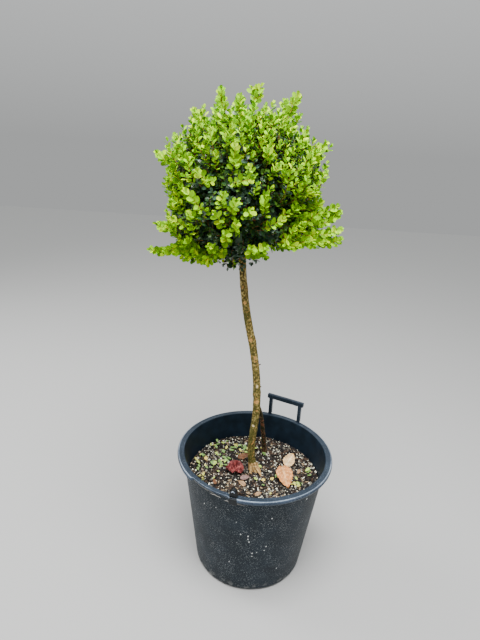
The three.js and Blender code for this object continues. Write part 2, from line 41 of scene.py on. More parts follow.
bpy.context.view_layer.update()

# The camera stands in front of the pot and looks a little down
CAMERA_PLACE = Vector((0, -1.335, 1.326))
CAMERA_DOWN = 19.69
CAMERA_TURN = -3.11
CAMERA_ROLL = 3.25
CAMERA_LENS = 27.06

# The pot. Lengths are in metres and angles in degrees, except in the tables that say millimetres.
POT_HEIGHT = 0.405
RIM_RADIUS = 0.250
FOOT_RADIUS = 0.178
NECK_RADIUS = 0.231
WALL = 0.004
FLOOR = 0.006
CORNER = 0.014
RECESS_RADII = (0.12, 0.128)
RECESS_DEPTH = 0.003
RIM_THICKNESS = 0.004
BEAD_RADIUS = 0.007
NEAR_AXIS = 0.0001
POT_COLUMNS = 360
WOBBLE = 0.0006
WOBBLE_FROM_RADIUS = 0.15
CREASE_BEARING = 187
CREASE_WIDTH = 1.2
CREASE_DEPTH = 0.0009
CREASE_HEIGHTS = (0.02, POT_HEIGHT - 0.03)

# Rows of the pot's section: how many its parts have, which of the bead's rows its outer face (painted
# lighter for sheen), the painted highlight along its shoulder and the rim's top start at, and how many rows
# behind the bead still belong to the rim's top
CORNER_ROWS = 9
WALL_ROWS = 34
BEAD_ROWS = 19
INSIDE_ROWS = 26
FACE_FROM = 6
HIGHLIGHT_FROM = 15
TOP_FROM = 17
TOP_BEHIND = 4

# The stretch of rim whose bead is torn off, and the strips that hang there: from, to, drop and radius
TORN_FROM = 195
TORN_TO = 227
TORN_RADIUS = 0.2405
TORN_WAVE = 0.0014
LIP_DROP = 0.0052
LIP_WAVE = 0.0012
SHRED_STEPS = 12
SHREDS = [
    (206, 216, 0.010, 0.2385), (201, 210, 0.014, 0.2400), (212, 222, 0.013, 0.2370),
    (187, 198, 0.017, 0.2425), (184, 190, 0.019, 0.2420), (218, 226, 0.008, 0.2395),
]

# Pale splashes on the wall: bearing, height and size
SPECK_SIDES = 10
SPECKS = [
    (186.4, 0.253, 0.0022), (180.3, 0.249, 0.0026), (180.2, 0.236, 0.0020), (179.2, 0.225, 0.0024),
    (175.8, 0.176, 0.0026), (175.8, 0.163, 0.0018), (172.0, 0.181, 0.0016), (164.5, 0.205, 0.0024),
    (165.7, 0.188, 0.0018), (163.1, 0.323, 0.0022), (133.3, 0.356, 0.0030), (218.9, 0.319, 0.0026),
    (207.1, 0.331, 0.0018), (196.0, 0.120, 0.0016), (150.0, 0.090, 0.0018), (190.0, 0.300, 0.0014),
]

# The handles. Bearings run from the back (0) over the right (90) to the front (180). The near handle is a
# broken foot in a socket, with a pale curl on it that is a painted highlight on the foot's loop.
HANDLE_BEARING = 24
HANDLE_SEAT_RADIUS = 0.239
HANDLE_SPAN = 0.124
HANDLE_RISE = 0.078
HANDLE_LEG = 0.012
HANDLE_DEPTH = 0.012
HANDLE_BAR = 0.016
HANDLE_NUB = 0.007
HANDLE_EASE = 0.0018
STUMP_BEARING = 192
STUMP_EASE = 0.0022
STUMP_OUTLINE = [
    (-0.012, 0), (0.012, 0), (0.012, 0.010), (0.008, 0.020), (0.003, 0.027), (-0.004, 0.028),
    (-0.009, 0.021), (-0.011, 0.010),
]
SOCKET_OUTLINE = [(-0.013, -0.019), (0.012, -0.017), (0.012, 0.001), (-0.012, 0.001)]
SOCKET_DEPTH = 0.007
SOCKET_OUT = 0.0095
SOCKET_EASE = 0.0020
CURL_CENTRE = (0.001, 0.0072, 0.018)
CURL_RADIUS = 0.004
CURL_STRAND = 0.0012
CURL_STEPS = 8

# The potting mix. Its surface lies a little under the level that the chips and the grit lie on.
MOUND_LEVEL = 0.328
MOUND_RADIUS = 0.066
STEP_LEVEL = 0.322
STEP_RADII = (0.092, 0.140)
WALL_LEVEL = 0.315
SIDE_LEVEL = 0.30
MIX_CLEARANCE = 0.0008
SOIL_WAVES = 0.002
SOIL_SUNK = 0.002
SOIL_ROUGH = 0.0022
SOIL_RINGS = 44
SOIL_COLUMNS = 120
CHIP_COUNT = 3900
GRIT_COUNT = 3800
CHIP_SIZES = (0.0035, 0.0135)
GRIT_SIZES = (0.0022, 0.0064)

# Fallen leaves on the mix: place, length, width, turn of the tip from +X, colour, and how crumpled. All of
# them lean on the chips, with the side away from the viewer higher.
FALLEN_LEAN = 0.35
FALLEN_ROWS = 23
FALLEN_COLUMNS = 17
FALLEN_LEAVES = [
    (-0.061, -0.026, 0.058, 0.056, 190, "red", 1.9), (-0.036, 0.050, 0.042, 0.026, 20, "brown", 0.6),
    (-0.025, -0.057, 0.030, 0.018, 10, "mauve", 0.4), (-0.033, -0.080, 0.026, 0.016, 150, "tan", 0.4),
    (0.120, 0.060, 0.052, 0.040, 60, "peach", 0.35), (0.103, -0.040, 0.080, 0.056, 285, "orange", 0.40),
    (0.062, -0.045, 0.014, 0.010, 40, "yellow", 0.3), (-0.163, 0.037, 0.016, 0.012, 300, "yellow", 0.3),
    (0.033, -0.056, 0.013, 0.010, 190, "yellow", 0.3), (0.020, -0.120, 0.022, 0.013, 20, "tan", 0.4),
    (-0.120, -0.080, 0.020, 0.012, 120, "brown", 0.5), (0.150, 0.010, 0.018, 0.011, 250, "tan", 0.4),
]

# Green leaves that the shrub has shed, in loose patches: the patch's middle, its spread and its count
SHED_LEAF = (0.011, 0.019)
SHED_LIFT = 0.0055
SHED_CLEARANCE = 0.018
SHED_SHARES = (0.32, 0.50, 0.18)
SHED_PATCHES = [
    (-0.133, 0.130, 0.016, 9), (-0.057, 0.117, 0.022, 16), (-0.100, 0.040, 0.020, 14),
    (-0.110, 0.000, 0.014, 8), (-0.170, -0.040, 0.020, 12), (0.138, -0.056, 0.012, 8),
    (0.180, 0.014, 0.008, 4), (0.011, 0.115, 0.016, 7), (-0.190, 0.045, 0.012, 4),
    (-0.030, 0.085, 0.014, 6), (0.030, -0.060, 0.030, 5),
]

# The stems. The bark stands a little proud of the solid.
TRUNK_SIDES = 40
TRUNK_RINGS = 420
TRUNK_FOOT_RADIUS = 0.0110
TRUNK_TIP_RADIUS = 0.0086
TRUNK_TAPER = 2.2
BARK_PROUD = 0.0007
FLARE_HEIGHT = 0.034
FLARE_SPREAD = 0.80
FLARE_BETWEEN = 0.25
FLARE_BEARINGS = (20, 130, 255)
SECOND_SIDES = 18
SECOND_RINGS = 110
SECOND_FOOT_RADIUS = 0.0082
SECOND_TIP_RADIUS = 0.0056
SECOND_FLARE = 0.4
SECOND_FLARE_SHARE = 0.11
SECOND_END = (-0.006, 0.004, 0.575)
TRUNK_LINE = [
    (0.003, -0.002, MOUND_LEVEL), (-0.006, -0.002, 0.356), (-0.011, -0.002, 0.392), (-0.012, -0.002, 0.430),
    (-0.007, -0.002, 0.505), (-0.005, -0.002, 0.560), (-0.011, -0.001, 0.655), (-0.026, 0, 0.751),
    (-0.047, 0, 0.840), (-0.061, 0, 0.912), (-0.071, 0, 0.985), (-0.078, 0, 1.070), (-0.083, 0.001, 1.152),
]
SECOND_LINE = [
    (0.033, 0.115, STEP_LEVEL), (0.031, 0.105, 0.348), (0.027, 0.088, 0.388), (0.021, 0.062, 0.444),
    (0.013, 0.034, 0.507), (0.0035, 0.0118, 0.552),
]

# Short dead snags on the trunk: height, bearing and length. Their radius runs from the foot to the tip.
SNAG_RADII = (0.0030, 0.0014)
SNAGS = [
    (0.700, 95, 0.010), (0.628, 105, 0.008), (0.560, 262, 0.006), (0.850, 255, 0.007), (0.462, 88, 0.006),
]

# Scars on the trunk's bark: height, bearing, half width, half height and which of the trunk's finishes
SCARS = [
    (0.640, 172, 0.0040, 0.0080, 1), (0.586, 180, 0.0075, 0.0070, 2), (0.790, 190, 0.0060, 0.0060, 2),
    (0.735, 165, 0.0050, 0.0070, 2), (0.905, 185, 0.0050, 0.0060, 2), (0.500, 200, 0.0050, 0.0050, 1),
]

# Surface roots that run off the trunk's foot into the mix, and how far up the foot has their colour
ROOT_TOP = 0.358
ROOT_RADII = (0.0052, 0.0022)
ROOT_LINES = [
    [(0.000, -0.008, 0.360), (0.010, -0.016, 0.344), (0.021, -0.026, 0.334), (0.034, -0.042, 0.323)],
    [(-0.006, -0.008, 0.362), (-0.009, -0.015, 0.345), (-0.008, -0.025, 0.332), (0.004, -0.042, 0.323)],
    [(0.006, -0.002, 0.356), (0.016, -0.006, 0.340), (0.027, -0.016, 0.324)],
]

# The crown: a ball of nine masses round the trunk's upper end. Its outline is seen from the front: how far
# it reaches from its middle, from the right-hand side (0 degrees) up and over to the left, in even steps.
CROWN = Vector((-0.088, 0, 1.203))
CROWN_OUTLINE = [0.190, 0.244, 0.234, 0.218, 0.229, 0.226, 0.190, 0.226, 0.192, 0.190, 0.162, 0.196]
CROWN_DEPTH = 0.206
CROWN_UNEVEN = 0.010
MASS_REACH = 0.128
MASS_RINGS = [
    {"label": "top", "count": 1, "elevation": 90, "bearing": 0, "radius": 0.0054},
    {"label": "upper", "count": 4, "elevation": 20, "bearing": 45, "radius": 0.0042,
     "foot": 1.115, "step": 0.009, "lift": 38},
    {"label": "lower", "count": 4, "elevation": -36, "bearing": 0, "radius": 0.0038,
     "foot": 1.052, "step": 0.012, "lift": 18},
]
TOP_BOUGH_BACK = 8
BOUGH_SIDES = 12
BOUGH_RINGS = 30
BOUGH_TIP_RADIUS = 0.0019

# The ways out of the crown in which few shoots have new leaves, so that it is darker there: low in front,
# for its old leaves and painted shade, and right underneath, as painted shade
DARK_WAY = (0.0, -0.96, -0.24)
SHADE_UNDER_WAY = (0.25, -0.20, -1)

# Shoots, from the boughs' twigs out to the finest. A twig starts on the outer part of its bough, from a
# share of its length on, and a finer shoot on some of a twig's points.
MAIN_SHOOTS = 114
YOUNG_SHOOTS = 780
OLD_SHOOTS = 1500
INNER_SHOOTS = 520
BOUGH_POINTS = 24
TWIGS_FROM = 0.55
JOINT_POINTS = (3, 12)
TWIG_RADIUS = 0.0017
FINE_RADIUS = 0.0009
TWIG_TIP_RADIUS = 0.0005
UPRIGHT_LOW = 0.35
UPRIGHT_HIGH = 1.0

# Leaves: shortest and longest of each kind, the gap from pair to pair, the lean off the shoot, fold and bend
YOUNG_LEAF = (0.0135, 0.0195)
SPRAY_LEAF = (0.014, 0.020)
MATURE_LEAF = (0.012, 0.020)
TUFT_LEAF = (0.009, 0.013)
PAIR_GAP = (0.0070, 0.0098)
MATURE_GAP = 1.35
YOUNG_LEAN = (34, 60)
MATURE_LEAN = 66
YOUNG_FOLD = (0.10, 0.40)
MATURE_FOLD = (0.02, 0.22)
YOUNG_BEND = (-0.04, 0.14)
MATURE_BEND = (-0.16, 0.02)

# A shoot's leaves are larger and lean out more with every step back from its tip, over this length at most.
# The stretch next to the tip has the youngest leaves.
GROWING_LENGTH = 0.030
TIP_LENGTH = 0.014

# Tips of the long young shoots that stand out of the ball, in millimetres
LONG_SHOOTS = [
    (-154, -40, 1458), (-108, 10, 1457), (-62, -10, 1475), (42, -15, 1466), (18, 60, 1453),
    (-314, -30, 1304), (-298, -60, 1112), (-332, -10, 1035), (-232, 60, 1419), (-222, -75, 1040),
    (-168, -85, 1030), (182, -30, 1178), (183, -45, 1133), (192, -40, 1107), (143, -60, 1099),
    (131, -40, 1202), (96, -87, 1232), (120, -20, 1342), (60, -110, 1092), (120, 90, 1300),
    (-60, 245, 1180), (-200, 190, 1290), (90, 190, 1130),
]

# Single bright sprays that stand out in front of the old leaves and at the sides: the tip and the foot in
# millimetres, and how many side shoots it has
FRONT_SPRAYS = [
    ((-96, -180, 1330), (-98, -160, 1265), 1), ((-55, -200, 1260), (-100, -165, 1245), 1),
    ((-115, -205, 1225), (-130, -165, 1190), 0), ((-83, -208, 1210), (-107, -165, 1168), 0),
    ((-137, -200, 1180), (-112, -155, 1137), 0), ((-82, -203, 1160), (-92, -155, 1128), 0),
    ((28, -172, 1172), (-19, -145, 1141), 1), ((-10, -165, 1100), (-45, -80, 1055), 1),
    ((-45, -170, 1097), (-50, -80, 1055), 1), ((-234, -66, 1037), (-173, -52, 1030), 3),
    ((-150, -166, 1094), (-123, -80, 1053), 1), ((-200, -172, 1170), (-182, -132, 1146), 2),
    ((-182, -176, 1270), (-159, -150, 1240), 2), ((-210, -134, 1100), (-195, -50, 1057), 2),
    ((-50, -204, 1190), (-64, -165, 1174), 0), ((-108, -194, 1131), (-111, -130, 1093), 0),
    ((-26, -162, 1322), (-13, -122, 1300), 1), ((-210, -170, 1222), (-159, -150, 1166), 2),
    ((-245, -140, 1150), (-200, -90, 1110), 2), ((-60, -185, 1285), (-50, -140, 1250), 0),
    ((160, -45, 1160), (100, -40, 1135), 2), ((150, -50, 1125), (90, -45, 1110), 2),
    ((120, -60, 1180), (80, -50, 1140), 2), ((165, -40, 1195), (110, -35, 1160), 2),
    ((110, -70, 1105), (65, -55, 1095), 2), ((-290, -40, 1045), (-240, -40, 1065), 2),
    ((-255, -70, 1050), (-215, -55, 1065), 2),
]

# Tips of the old leafy shoots that hang round the trunk under the crown, in millimetres
LOW_TIPS = [
    (-112, -50, 1014), (-74, -55, 1018), (-140, -20, 1024), (-48, -20, 1024), (-95, -70, 1026),
    (-60, 40, 1028), (-125, 40, 1030), (-150, -60, 1034), (-34, -50, 1040), (-92, 20, 1018),
    (-120, -75, 1030), (-104, -35, 1024), (-82, -30, 1026), (-66, -75, 1032),
]


def from_mm(place):
    return Vector([length / 1000 for length in place])


def outward(bearing, elevation=0):
    """The way out from the middle, from a bearing and an elevation in degrees."""
    turn, lift = math.radians(bearing), math.radians(elevation)
    return Vector((math.sin(turn) * math.cos(lift), math.cos(turn) * math.cos(lift), math.sin(lift)))


def mix(low, high, share):
    return low + (high - low) * share


def between(low, high):
    """A random value from low to high."""
    return mix(low, high, dice.random())


def scatter(size):
    """A random step, up to half the size either way along each axis."""
    return Vector(size * (dice.random(3) - 0.5))


def smooth_step(low, high, value):
    share = min(1, max(0, (value - low) / (high - low)))
    return share * share * (3 - 2 * share)


def ripple(*place):
    """Smooth noise at a place, from about -1 to 1."""
    return noise.noise(Vector(place))


def ring_spot(turn, size):
    """Where noise is read round a stem, so that it closes after a full turn."""
    return math.cos(turn) * size, math.sin(turn) * size


def placed(name, data):
    """A new object in the scene."""
    made = bpy.data.objects.new(name, data)
    bpy.context.scene.collection.objects.link(made)
    return made


# Meshes

def mesh_piece(name, slot, places, faces, materials, paint=None, smooth=True, node=()):
    """A named mesh that rides on the plant's one body and stands for the given CAD nodes."""
    mesh = bpy.data.meshes.new(name)
    places = np.asarray(places, np.float32)
    faces = np.asarray(faces, np.int32)
    sides = faces.shape[1]
    mesh.vertices.add(len(places))
    mesh.vertices.foreach_set("co", places.ravel())
    mesh.loops.add(faces.size)
    mesh.loops.foreach_set("vertex_index", faces.ravel())
    mesh.polygons.add(len(faces))
    mesh.polygons.foreach_set("loop_start", np.arange(0, faces.size, sides, dtype=np.int32))
    for material in materials:
        mesh.materials.append(material)
    if paint is not None:
        mesh.polygons.foreach_set("material_index", np.asarray(paint, np.int32))
    mesh.polygons.foreach_set("use_smooth", np.full(len(faces), smooth))
    mesh.update(calc_edges=True)
    mesh.validate()
    piece = placed(name, mesh)
    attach(piece, "root")
    if node:
        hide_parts(*node)


def grid_faces(rows, columns, closed=True):
    """Four-sided faces of a grid of points whose rows run round a section."""
    across = columns if closed else columns - 1
    row, column = np.meshgrid(np.arange(rows - 1), np.arange(across), indexing="ij")
    beside = (column + 1) % columns
    low, high = row * columns, (row + 1) * columns
    return np.stack([low + column, low + beside, high + beside, high + column], -1).reshape(-1, 4)


def smooth_line(points, count):
    """Evenly spaced points on a centripetal Catmull-Rom curve through the given ones."""
    given = np.array([tuple(p) for p in points], float)
    ends = np.vstack([2 * given[0] - given[1], given, 2 * given[-1] - given[-2]])
    dense = []
    for first, start, end, last in zip(ends, ends[1:], ends[2:], ends[3:]):
        before, during, after = (
            math.sqrt(np.linalg.norm(b - a)) for a, b in ((first, start), (start, end), (end, last))
        )
        leave = (start - first) / before - (end - first) / (before + during) + (end - start) / during
        arrive = (end - start) / during - (last - start) / (during + after) + (last - end) / after
        leave, arrive = leave * during, arrive * during
        for t in np.linspace(0, 1, 24, endpoint=False):
            dense.append(
                (2 * t**3 - 3 * t**2 + 1) * start + (t**3 - 2 * t**2 + t) * leave
                + (-2 * t**3 + 3 * t**2) * end + (t**3 - t**2) * arrive
            )
    dense = np.array(dense + [given[-1]])
    run = np.concatenate([[0], np.cumsum(np.linalg.norm(np.diff(dense, axis=0), axis=1))])
    wanted = np.linspace(0, run[-1], count)
    return np.stack([np.interp(wanted, run, dense[:, axis]) for axis in range(3)], -1)


def limb(line, sides, radius_at):
    """Rings of points along a line, and the faces between them. radius_at gives a point's radius from the
    share along the line, the turn round it and the middle of the ring."""
    line = np.asarray(line, float)
    ways = np.gradient(line, axis=0)
    ways /= np.linalg.norm(ways, axis=1)[:, None]
    reference = np.array((0, 1.0, 0)) if abs(ways[0][1]) < 0.9 else np.array((1.0, 0, 0))
    rings = []
    for index, (centre, way) in enumerate(zip(line, ways)):
        reference = reference - way * reference.dot(way)
        reference /= np.linalg.norm(reference)
        beside = np.cross(reference, way)
        turns = np.arange(sides) * 2 * math.pi / sides
        share = index / (len(line) - 1)
        radii = np.array([radius_at(share, turn, centre) for turn in turns])
        rings.append(
            centre + radii[:, None] * (np.cos(turns)[:, None] * reference + np.sin(turns)[:, None] * beside)
        )
    return np.concatenate(rings), grid_faces(len(line), sides)[:, ::-1]


def joined(parts):
    """One list of points and one of faces from several."""
    places, faces, start = [], [], 0
    for part_places, part_faces in parts:
        places.append(part_places)
        faces.append(part_faces + start)
        start += len(part_places)
    return np.concatenate(places), np.concatenate(faces)


# Materials

def finish_material(name, colour, roughness, **sockets):
    """A plain principled material. Further keywords set its sockets, with _ for a space."""
    material = bpy.data.materials.new(name)
    material.use_nodes = True
    shader = material.node_tree.nodes["Principled BSDF"]
    shader.inputs["Base Color"].default_value = (*colour, 1)
    shader.inputs["Roughness"].default_value = roughness
    for socket, value in sockets.items():
        shader.inputs[socket.replace("_", " ")].default_value = value
    return material


def add_node(material, kind, settings=None, values=(), **sockets):
    """A node with its settings and sockets given. A socket takes a value or another node's output, and
    values fill the first sockets in their order."""
    tree = material.node_tree
    node = tree.nodes.new(f"ShaderNode{kind}")
    for name, value in (settings or {}).items():
        setattr(node, name, value)
    wanted = [(node.inputs[index], value) for index, value in enumerate(values)]
    wanted += [(node.inputs[name.replace("_", " ")], value) for name, value in sockets.items()]
    for socket, value in wanted:
        if isinstance(value, bpy.types.NodeSocket):
            tree.links.new(value, socket)
        else:
            socket.default_value = value
    return node


def noise_at(material, scale, detail=4, stretch=(1, 1, 1)):
    """Noise in the piece's own space, from 0 to 1."""
    places = add_node(material, "TexCoord").outputs["Object"]
    mapped = add_node(material, "Mapping", Vector=places, Scale=stretch).outputs["Vector"]
    return add_node(material, "TexNoise", Vector=mapped, Scale=scale, Detail=detail).outputs["Fac"]


def ranged(material, value, low, high, to_low=0.0, to_high=1.0):
    """A value moved from one range to another and held inside it."""
    return add_node(
        material, "MapRange", Value=value, From_Min=low, From_Max=high, To_Min=to_low, To_Max=to_high,
    ).outputs["Result"]


def ramped(material, value, colours):
    """The colour at a value, from colours that are each given with a place."""
    ramp = add_node(material, "ValToRGB", Fac=value)
    while len(ramp.color_ramp.elements) < len(colours):
        ramp.color_ramp.elements.new(0.5)
    for element, (at, colour) in zip(ramp.color_ramp.elements, colours):
        element.position = at
        element.color = (*colour, 1)
    return ramp.outputs["Color"]


def blended(material, share, under, over):
    """One colour laid over another, each a colour or another node's output. In a Mix node for colours they
    are the inputs 6 and 7, and the result is output 2."""
    node = add_node(material, "Mix", {"data_type": "RGBA"}, Factor=share)
    under_socket, over_socket = node.inputs[6], node.inputs[7]
    for socket, colour in ((under_socket, under), (over_socket, over)):
        if isinstance(colour, bpy.types.NodeSocket):
            material.node_tree.links.new(colour, socket)
        else:
            socket.default_value = (*colour, 1)
    return node.outputs[2]


def product(material, *values):
    return add_node(material, "Math", {"operation": "MULTIPLY"}, values).outputs[0]


def height_of(material):
    places = add_node(material, "TexCoord").outputs["Object"]
    return add_node(material, "SeparateXYZ", Vector=places).outputs["Z"]


def paint_with(material, colour, bumps, strength, depth):
    """Links a colour and a relief to the material's shader."""
    shader = material.node_tree.nodes["Principled BSDF"]
    material.node_tree.links.new(colour, shader.inputs["Base Color"])
    bump = add_node(material, "Bump", Height=bumps, Strength=strength, Distance=depth)
    material.node_tree.links.new(bump.outputs["Normal"], shader.inputs["Normal"])


def shades(colour, spread=0.22):
    """A ramp from a darker to a lighter shade of one colour."""
    darker = [channel * (1 - spread) for channel in colour]
    lighter = [min(1, channel * (1 + spread)) for channel in colour]
    return [(0.32, darker), (0.68, lighter)]


LEAF_COLOURS = {
    "young_yellow": (0.46, 0.71, 0.0),
    "young_bright": (0.27, 0.57, 0.0),
    "young_green": (0.135, 0.310, 0.0),
    "mature_mid": (0.062, 0.150, 0.014),
    "mature_dark": (0.017, 0.054, 0.014),
    "mature_blue": (0.038, 0.085, 0.048),
}


def leaf_material(name):
    """Young leaves are soft, and mature ones leathery with more gloss."""
    young = name.startswith("young")
    material = finish_material(
        name, LEAF_COLOURS[name], 0.65 if young else 0.32,
        Specular_IOR_Level=0.02 if young else 0.5, Coat_Weight=0.0 if young else 0.18, Coat_Roughness=0.2,
    )
    colour = ramped(material, noise_at(material, 60), shades(LEAF_COLOURS[name]))
    paint_with(material, colour, noise_at(material, 900), 0.25, 0.0004)
    return material


POT_SHEEN = (0.66, 0.85, 1.0, 1)
SCUFF_GREY = (0.20, 0.20, 0.19)


def pot_material(name, tones, dust_colour, roughness=0.55):
    """Matt black plastic with fine pale specks of dried dust, greyer in patches and scuffed at its foot."""
    material = finish_material(name, tones[1], roughness, Specular_IOR_Level=0.30, Specular_Tint=POT_SHEEN)
    tone = ramped(material, noise_at(material, 14, 8), list(zip((0.34, 0.52, 0.72), tones)))
    dots = ranged(material, noise_at(material, 420, 1), 0.61, 0.68)
    drifts = ranged(material, noise_at(material, 26, 5), 0.36, 0.62, 0.25, 1)
    dusty = blended(material, product(material, dots, drifts), tone, dust_colour)
    near_foot = ranged(material, height_of(material), 0.035, 0.0, 0, 0.9)
    scrapes = ranged(material, noise_at(material, 60, 6), 0.52, 0.60)
    scuffed = blended(material, product(material, near_foot, scrapes), dusty, SCUFF_GREY)
    paint_with(material, scuffed, noise_at(material, 420), 0.35, 0.0005)
    return material


def bark_material(name, colours, moss, patches, patch_share=0.60, low_moss=0.0):
    """Flaking bark in small flecks of its own colours, under thin moss in drifts, with single patches. The
    foot can be mossier than the rest."""
    material = finish_material(name, colours[1][1], 0.85, Specular_IOR_Level=0.2)
    tone = ramped(material, noise_at(material, 210, 5, (1, 1, 0.7)), colours)
    drifts = ranged(material, noise_at(material, 34, 4, (1, 1, 0.5)), 0.46, 0.62, 0, 0.75)
    low = ranged(material, height_of(material), 0.95, 0.45, 0, low_moss)
    mossy = blended(material, low, blended(material, drifts, tone, moss), moss)
    spots = ranged(material, noise_at(material, 110, 3, (1, 1, 0.8)), patch_share, patch_share + 0.05)
    patched = blended(material, spots, mossy, patches)
    paint_with(material, patched, noise_at(material, 240, 6, (1, 1, 0.5)), 0.9, 0.0018)
    return material


def speckled(name, colour, roughness=0.9, spread=0.35, scale=160):
    """A rough material in lighter and darker flecks of one colour."""
    material = finish_material(name, colour, roughness, Specular_IOR_Level=0.3)
    tone = ramped(material, noise_at(material, scale), shades(colour, spread))
    paint_with(material, tone, noise_at(material, 500, 6), 0.5, 0.0008)
    return material


def speckles(colours, **settings):
    """One speckled material for each name and colour."""
    return [speckled(name, colour, **settings) for name, colour in colours.items()]


# The pot

def outer_radius(height):
    return FOOT_RADIUS + (NECK_RADIUS - FOOT_RADIUS) / (POT_HEIGHT - RIM_THICKNESS) * height


def inner_radius(height):
    return outer_radius(height) - WALL


def arc(centre_radius, centre_height, radius, start, end, steps):
    """Points (radius, height) of an arc whose angles run from straight out (0) to straight up (90)."""
    turns = np.radians(np.linspace(start, end, steps))
    return [(centre_radius + radius * math.cos(t), centre_height + radius * math.sin(t)) for t in turns]


def pot_section():
    """The pot's section, from the middle of its underside round to the middle of its floor. Gives the points
    and the first and last of those that make the rolled bead."""
    section = [(NEAR_AXIS, RECESS_DEPTH), (RECESS_RADII[0], RECESS_DEPTH), (RECESS_RADII[1], 0)]
    section += arc(outer_radius(CORNER) - CORNER, CORNER, CORNER, -90, 0, CORNER_ROWS)
    section += [(outer_radius(h), h) for h in np.linspace(CORNER + 0.006, POT_HEIGHT - 0.019, WALL_ROWS)]
    section += arc(outer_radius(POT_HEIGHT - 0.015) + 0.004, POT_HEIGHT - 0.017, 0.004, 180, 110, 4)
    first = len(section)
    middle = RIM_RADIUS - BEAD_RADIUS
    section += arc(middle, POT_HEIGHT - BEAD_RADIUS, BEAD_RADIUS, -150, 90, BEAD_ROWS)
    last = len(section)
    section += [(middle - 0.004, POT_HEIGHT - 0.0010), (middle - 0.008, POT_HEIGHT - 0.0006)]
    section += arc(inner_radius(POT_HEIGHT) + 0.0025, POT_HEIGHT - 0.003, 0.0025, 80, 180, 6)
    section += [(inner_radius(h), h) for h in np.linspace(POT_HEIGHT - 0.010, FLOOR + 0.006, INSIDE_ROWS)]
    section += [(inner_radius(FLOOR) - 0.004, FLOOR), (NEAR_AXIS, FLOOR)]
    return section, first, last


def torn_share(bearing):
    """How far the rim's bead is torn away at a bearing, from 0 to 1, with ragged ends."""
    ragged = bearing + 1.2 * ripple(bearing * 0.9, 3, 5)
    start = smooth_step(TORN_FROM - 1.5, TORN_FROM + 1.5, ragged)
    return start * (1 - smooth_step(TORN_TO - 1, TORN_TO + 1, ragged))


def make_pot():
    section, first, last = pot_section()
    bearings = [360 * column / POT_COLUMNS for column in range(POT_COLUMNS)]
    places = []
    for index, (radius, height) in enumerate(section):
        for bearing in bearings:
            way = outward(bearing)
            out, up = radius, height
            if radius > WOBBLE_FROM_RADIUS:
                out += WOBBLE * ripple(way.x * 2.2, way.y * 2.2, height * 5)
            on_outside = radius > inner_radius(height) + WALL / 2
            if on_outside and CREASE_HEIGHTS[0] < height < CREASE_HEIGHTS[1]:
                away = abs((bearing - CREASE_BEARING + 180) % 360 - 180)
                out -= CREASE_DEPTH * max(0, 1 - away / CREASE_WIDTH)
            if first <= index < last:
                torn = torn_share(bearing)
                edge = TORN_RADIUS + TORN_WAVE * ripple(bearing * 0.5, index * 0.4, 3)
                lip = POT_HEIGHT - LIP_DROP + LIP_WAVE * ripple(bearing * 0.8, 1, 9)
                out = mix(out, edge + (out - edge) * (0.10 if out > edge else 1), torn)
                up = mix(up, lip + (up - lip) * (0.12 if up < lip else 1), torn)
            places.append((way.x * out, way.y * out, up))
    faces = grid_faces(len(section), POT_COLUMNS)[:, ::-1]
    finishes = [pot_plastic, painted_sheen_plastic, pot_inside, bead_face_sheen, painted_highlight_plastic]
    finish_of_row = np.zeros(len(section) - 1, int)
    # Painted light on the rim: the bead's outer face is painted lighter for sheen, a band of rows on its
    # shoulder is a painted highlight, and the rim's top is painted sheen as well
    for start, finish in (
        (first + FACE_FROM, bead_face_sheen), (first + HIGHLIGHT_FROM, painted_highlight_plastic), (first + TOP_FROM, painted_sheen_plastic),
        (last + TOP_BEHIND, pot_inside),
    ):
        finish_of_row[start:] = finishes.index(finish)
    paint = np.repeat(finish_of_row, POT_COLUMNS)
    mesh_piece("pot_shell", "pot_plastic", places, faces, finishes, paint, node=("pot",))


def make_shreds():
    """Thin torn strips that hang on below the rim, where its bead has come off."""
    parts = []
    for start, end, drop, out in SHREDS:
        line = []
        for step in range(SHRED_STEPS + 1):
            bearing = mix(start, end, step / SHRED_STEPS)
            wave = ripple(bearing * 0.4, drop * 900, 2)
            way = outward(bearing) * (out + 0.0016 * wave)
            droop = 0.002 * abs(2 * step / SHRED_STEPS - 1)
            line.append((way.x, way.y, POT_HEIGHT - drop + 0.0035 * wave - droop))
        parts.append(limb(line, 5, lambda share, turn, centre: 0.0009 * (0.4 + math.sin(math.pi * share))))
    mesh_piece("torn_shreds", "pot_plastic", *joined(parts), [shred_grey])


def make_specks():
    """Small pale splashes that have dried on the front of the pot's wall."""
    parts = []
    for bearing, height, size in SPECKS:
        way, beside = outward(bearing), outward(bearing + 90)
        centre = way * (outer_radius(height) + 0.0006) + Vector((0, 0, height))
        ring = []
        for step in range(SPECK_SIDES):
            turn = 2 * math.pi * step / SPECK_SIDES
            reach = size * between(0.7, 1.1)
            rise = Vector((0, 0, math.sin(turn) * reach * 1.15))
            ring.append(centre + beside * math.cos(turn) * reach + rise)
        inner = [centre + (spot - centre) * 0.5 + way * 0.0004 for spot in ring]
        tip = [centre + (spot - centre) * 0.02 + way * 0.0005 for spot in ring]
        parts.append((np.array([tuple(p) for p in ring + inner + tip]), grid_faces(3, SPECK_SIDES)))
    mesh_piece("dried_splashes", "pot_plastic", *joined(parts), [splash_pale])


def rim_frame(bearing):
    """The axes and the foot of something that stands on the rim at a bearing."""
    away = outward(bearing)
    axes = Matrix((outward(bearing + 90), away, Vector((0, 0, 1)))).transposed()
    seat = Vector((away.x * HANDLE_SEAT_RADIUS, away.y * HANDLE_SEAT_RADIUS, POT_HEIGHT))
    return Matrix.Translation(seat) @ axes.to_4x4()


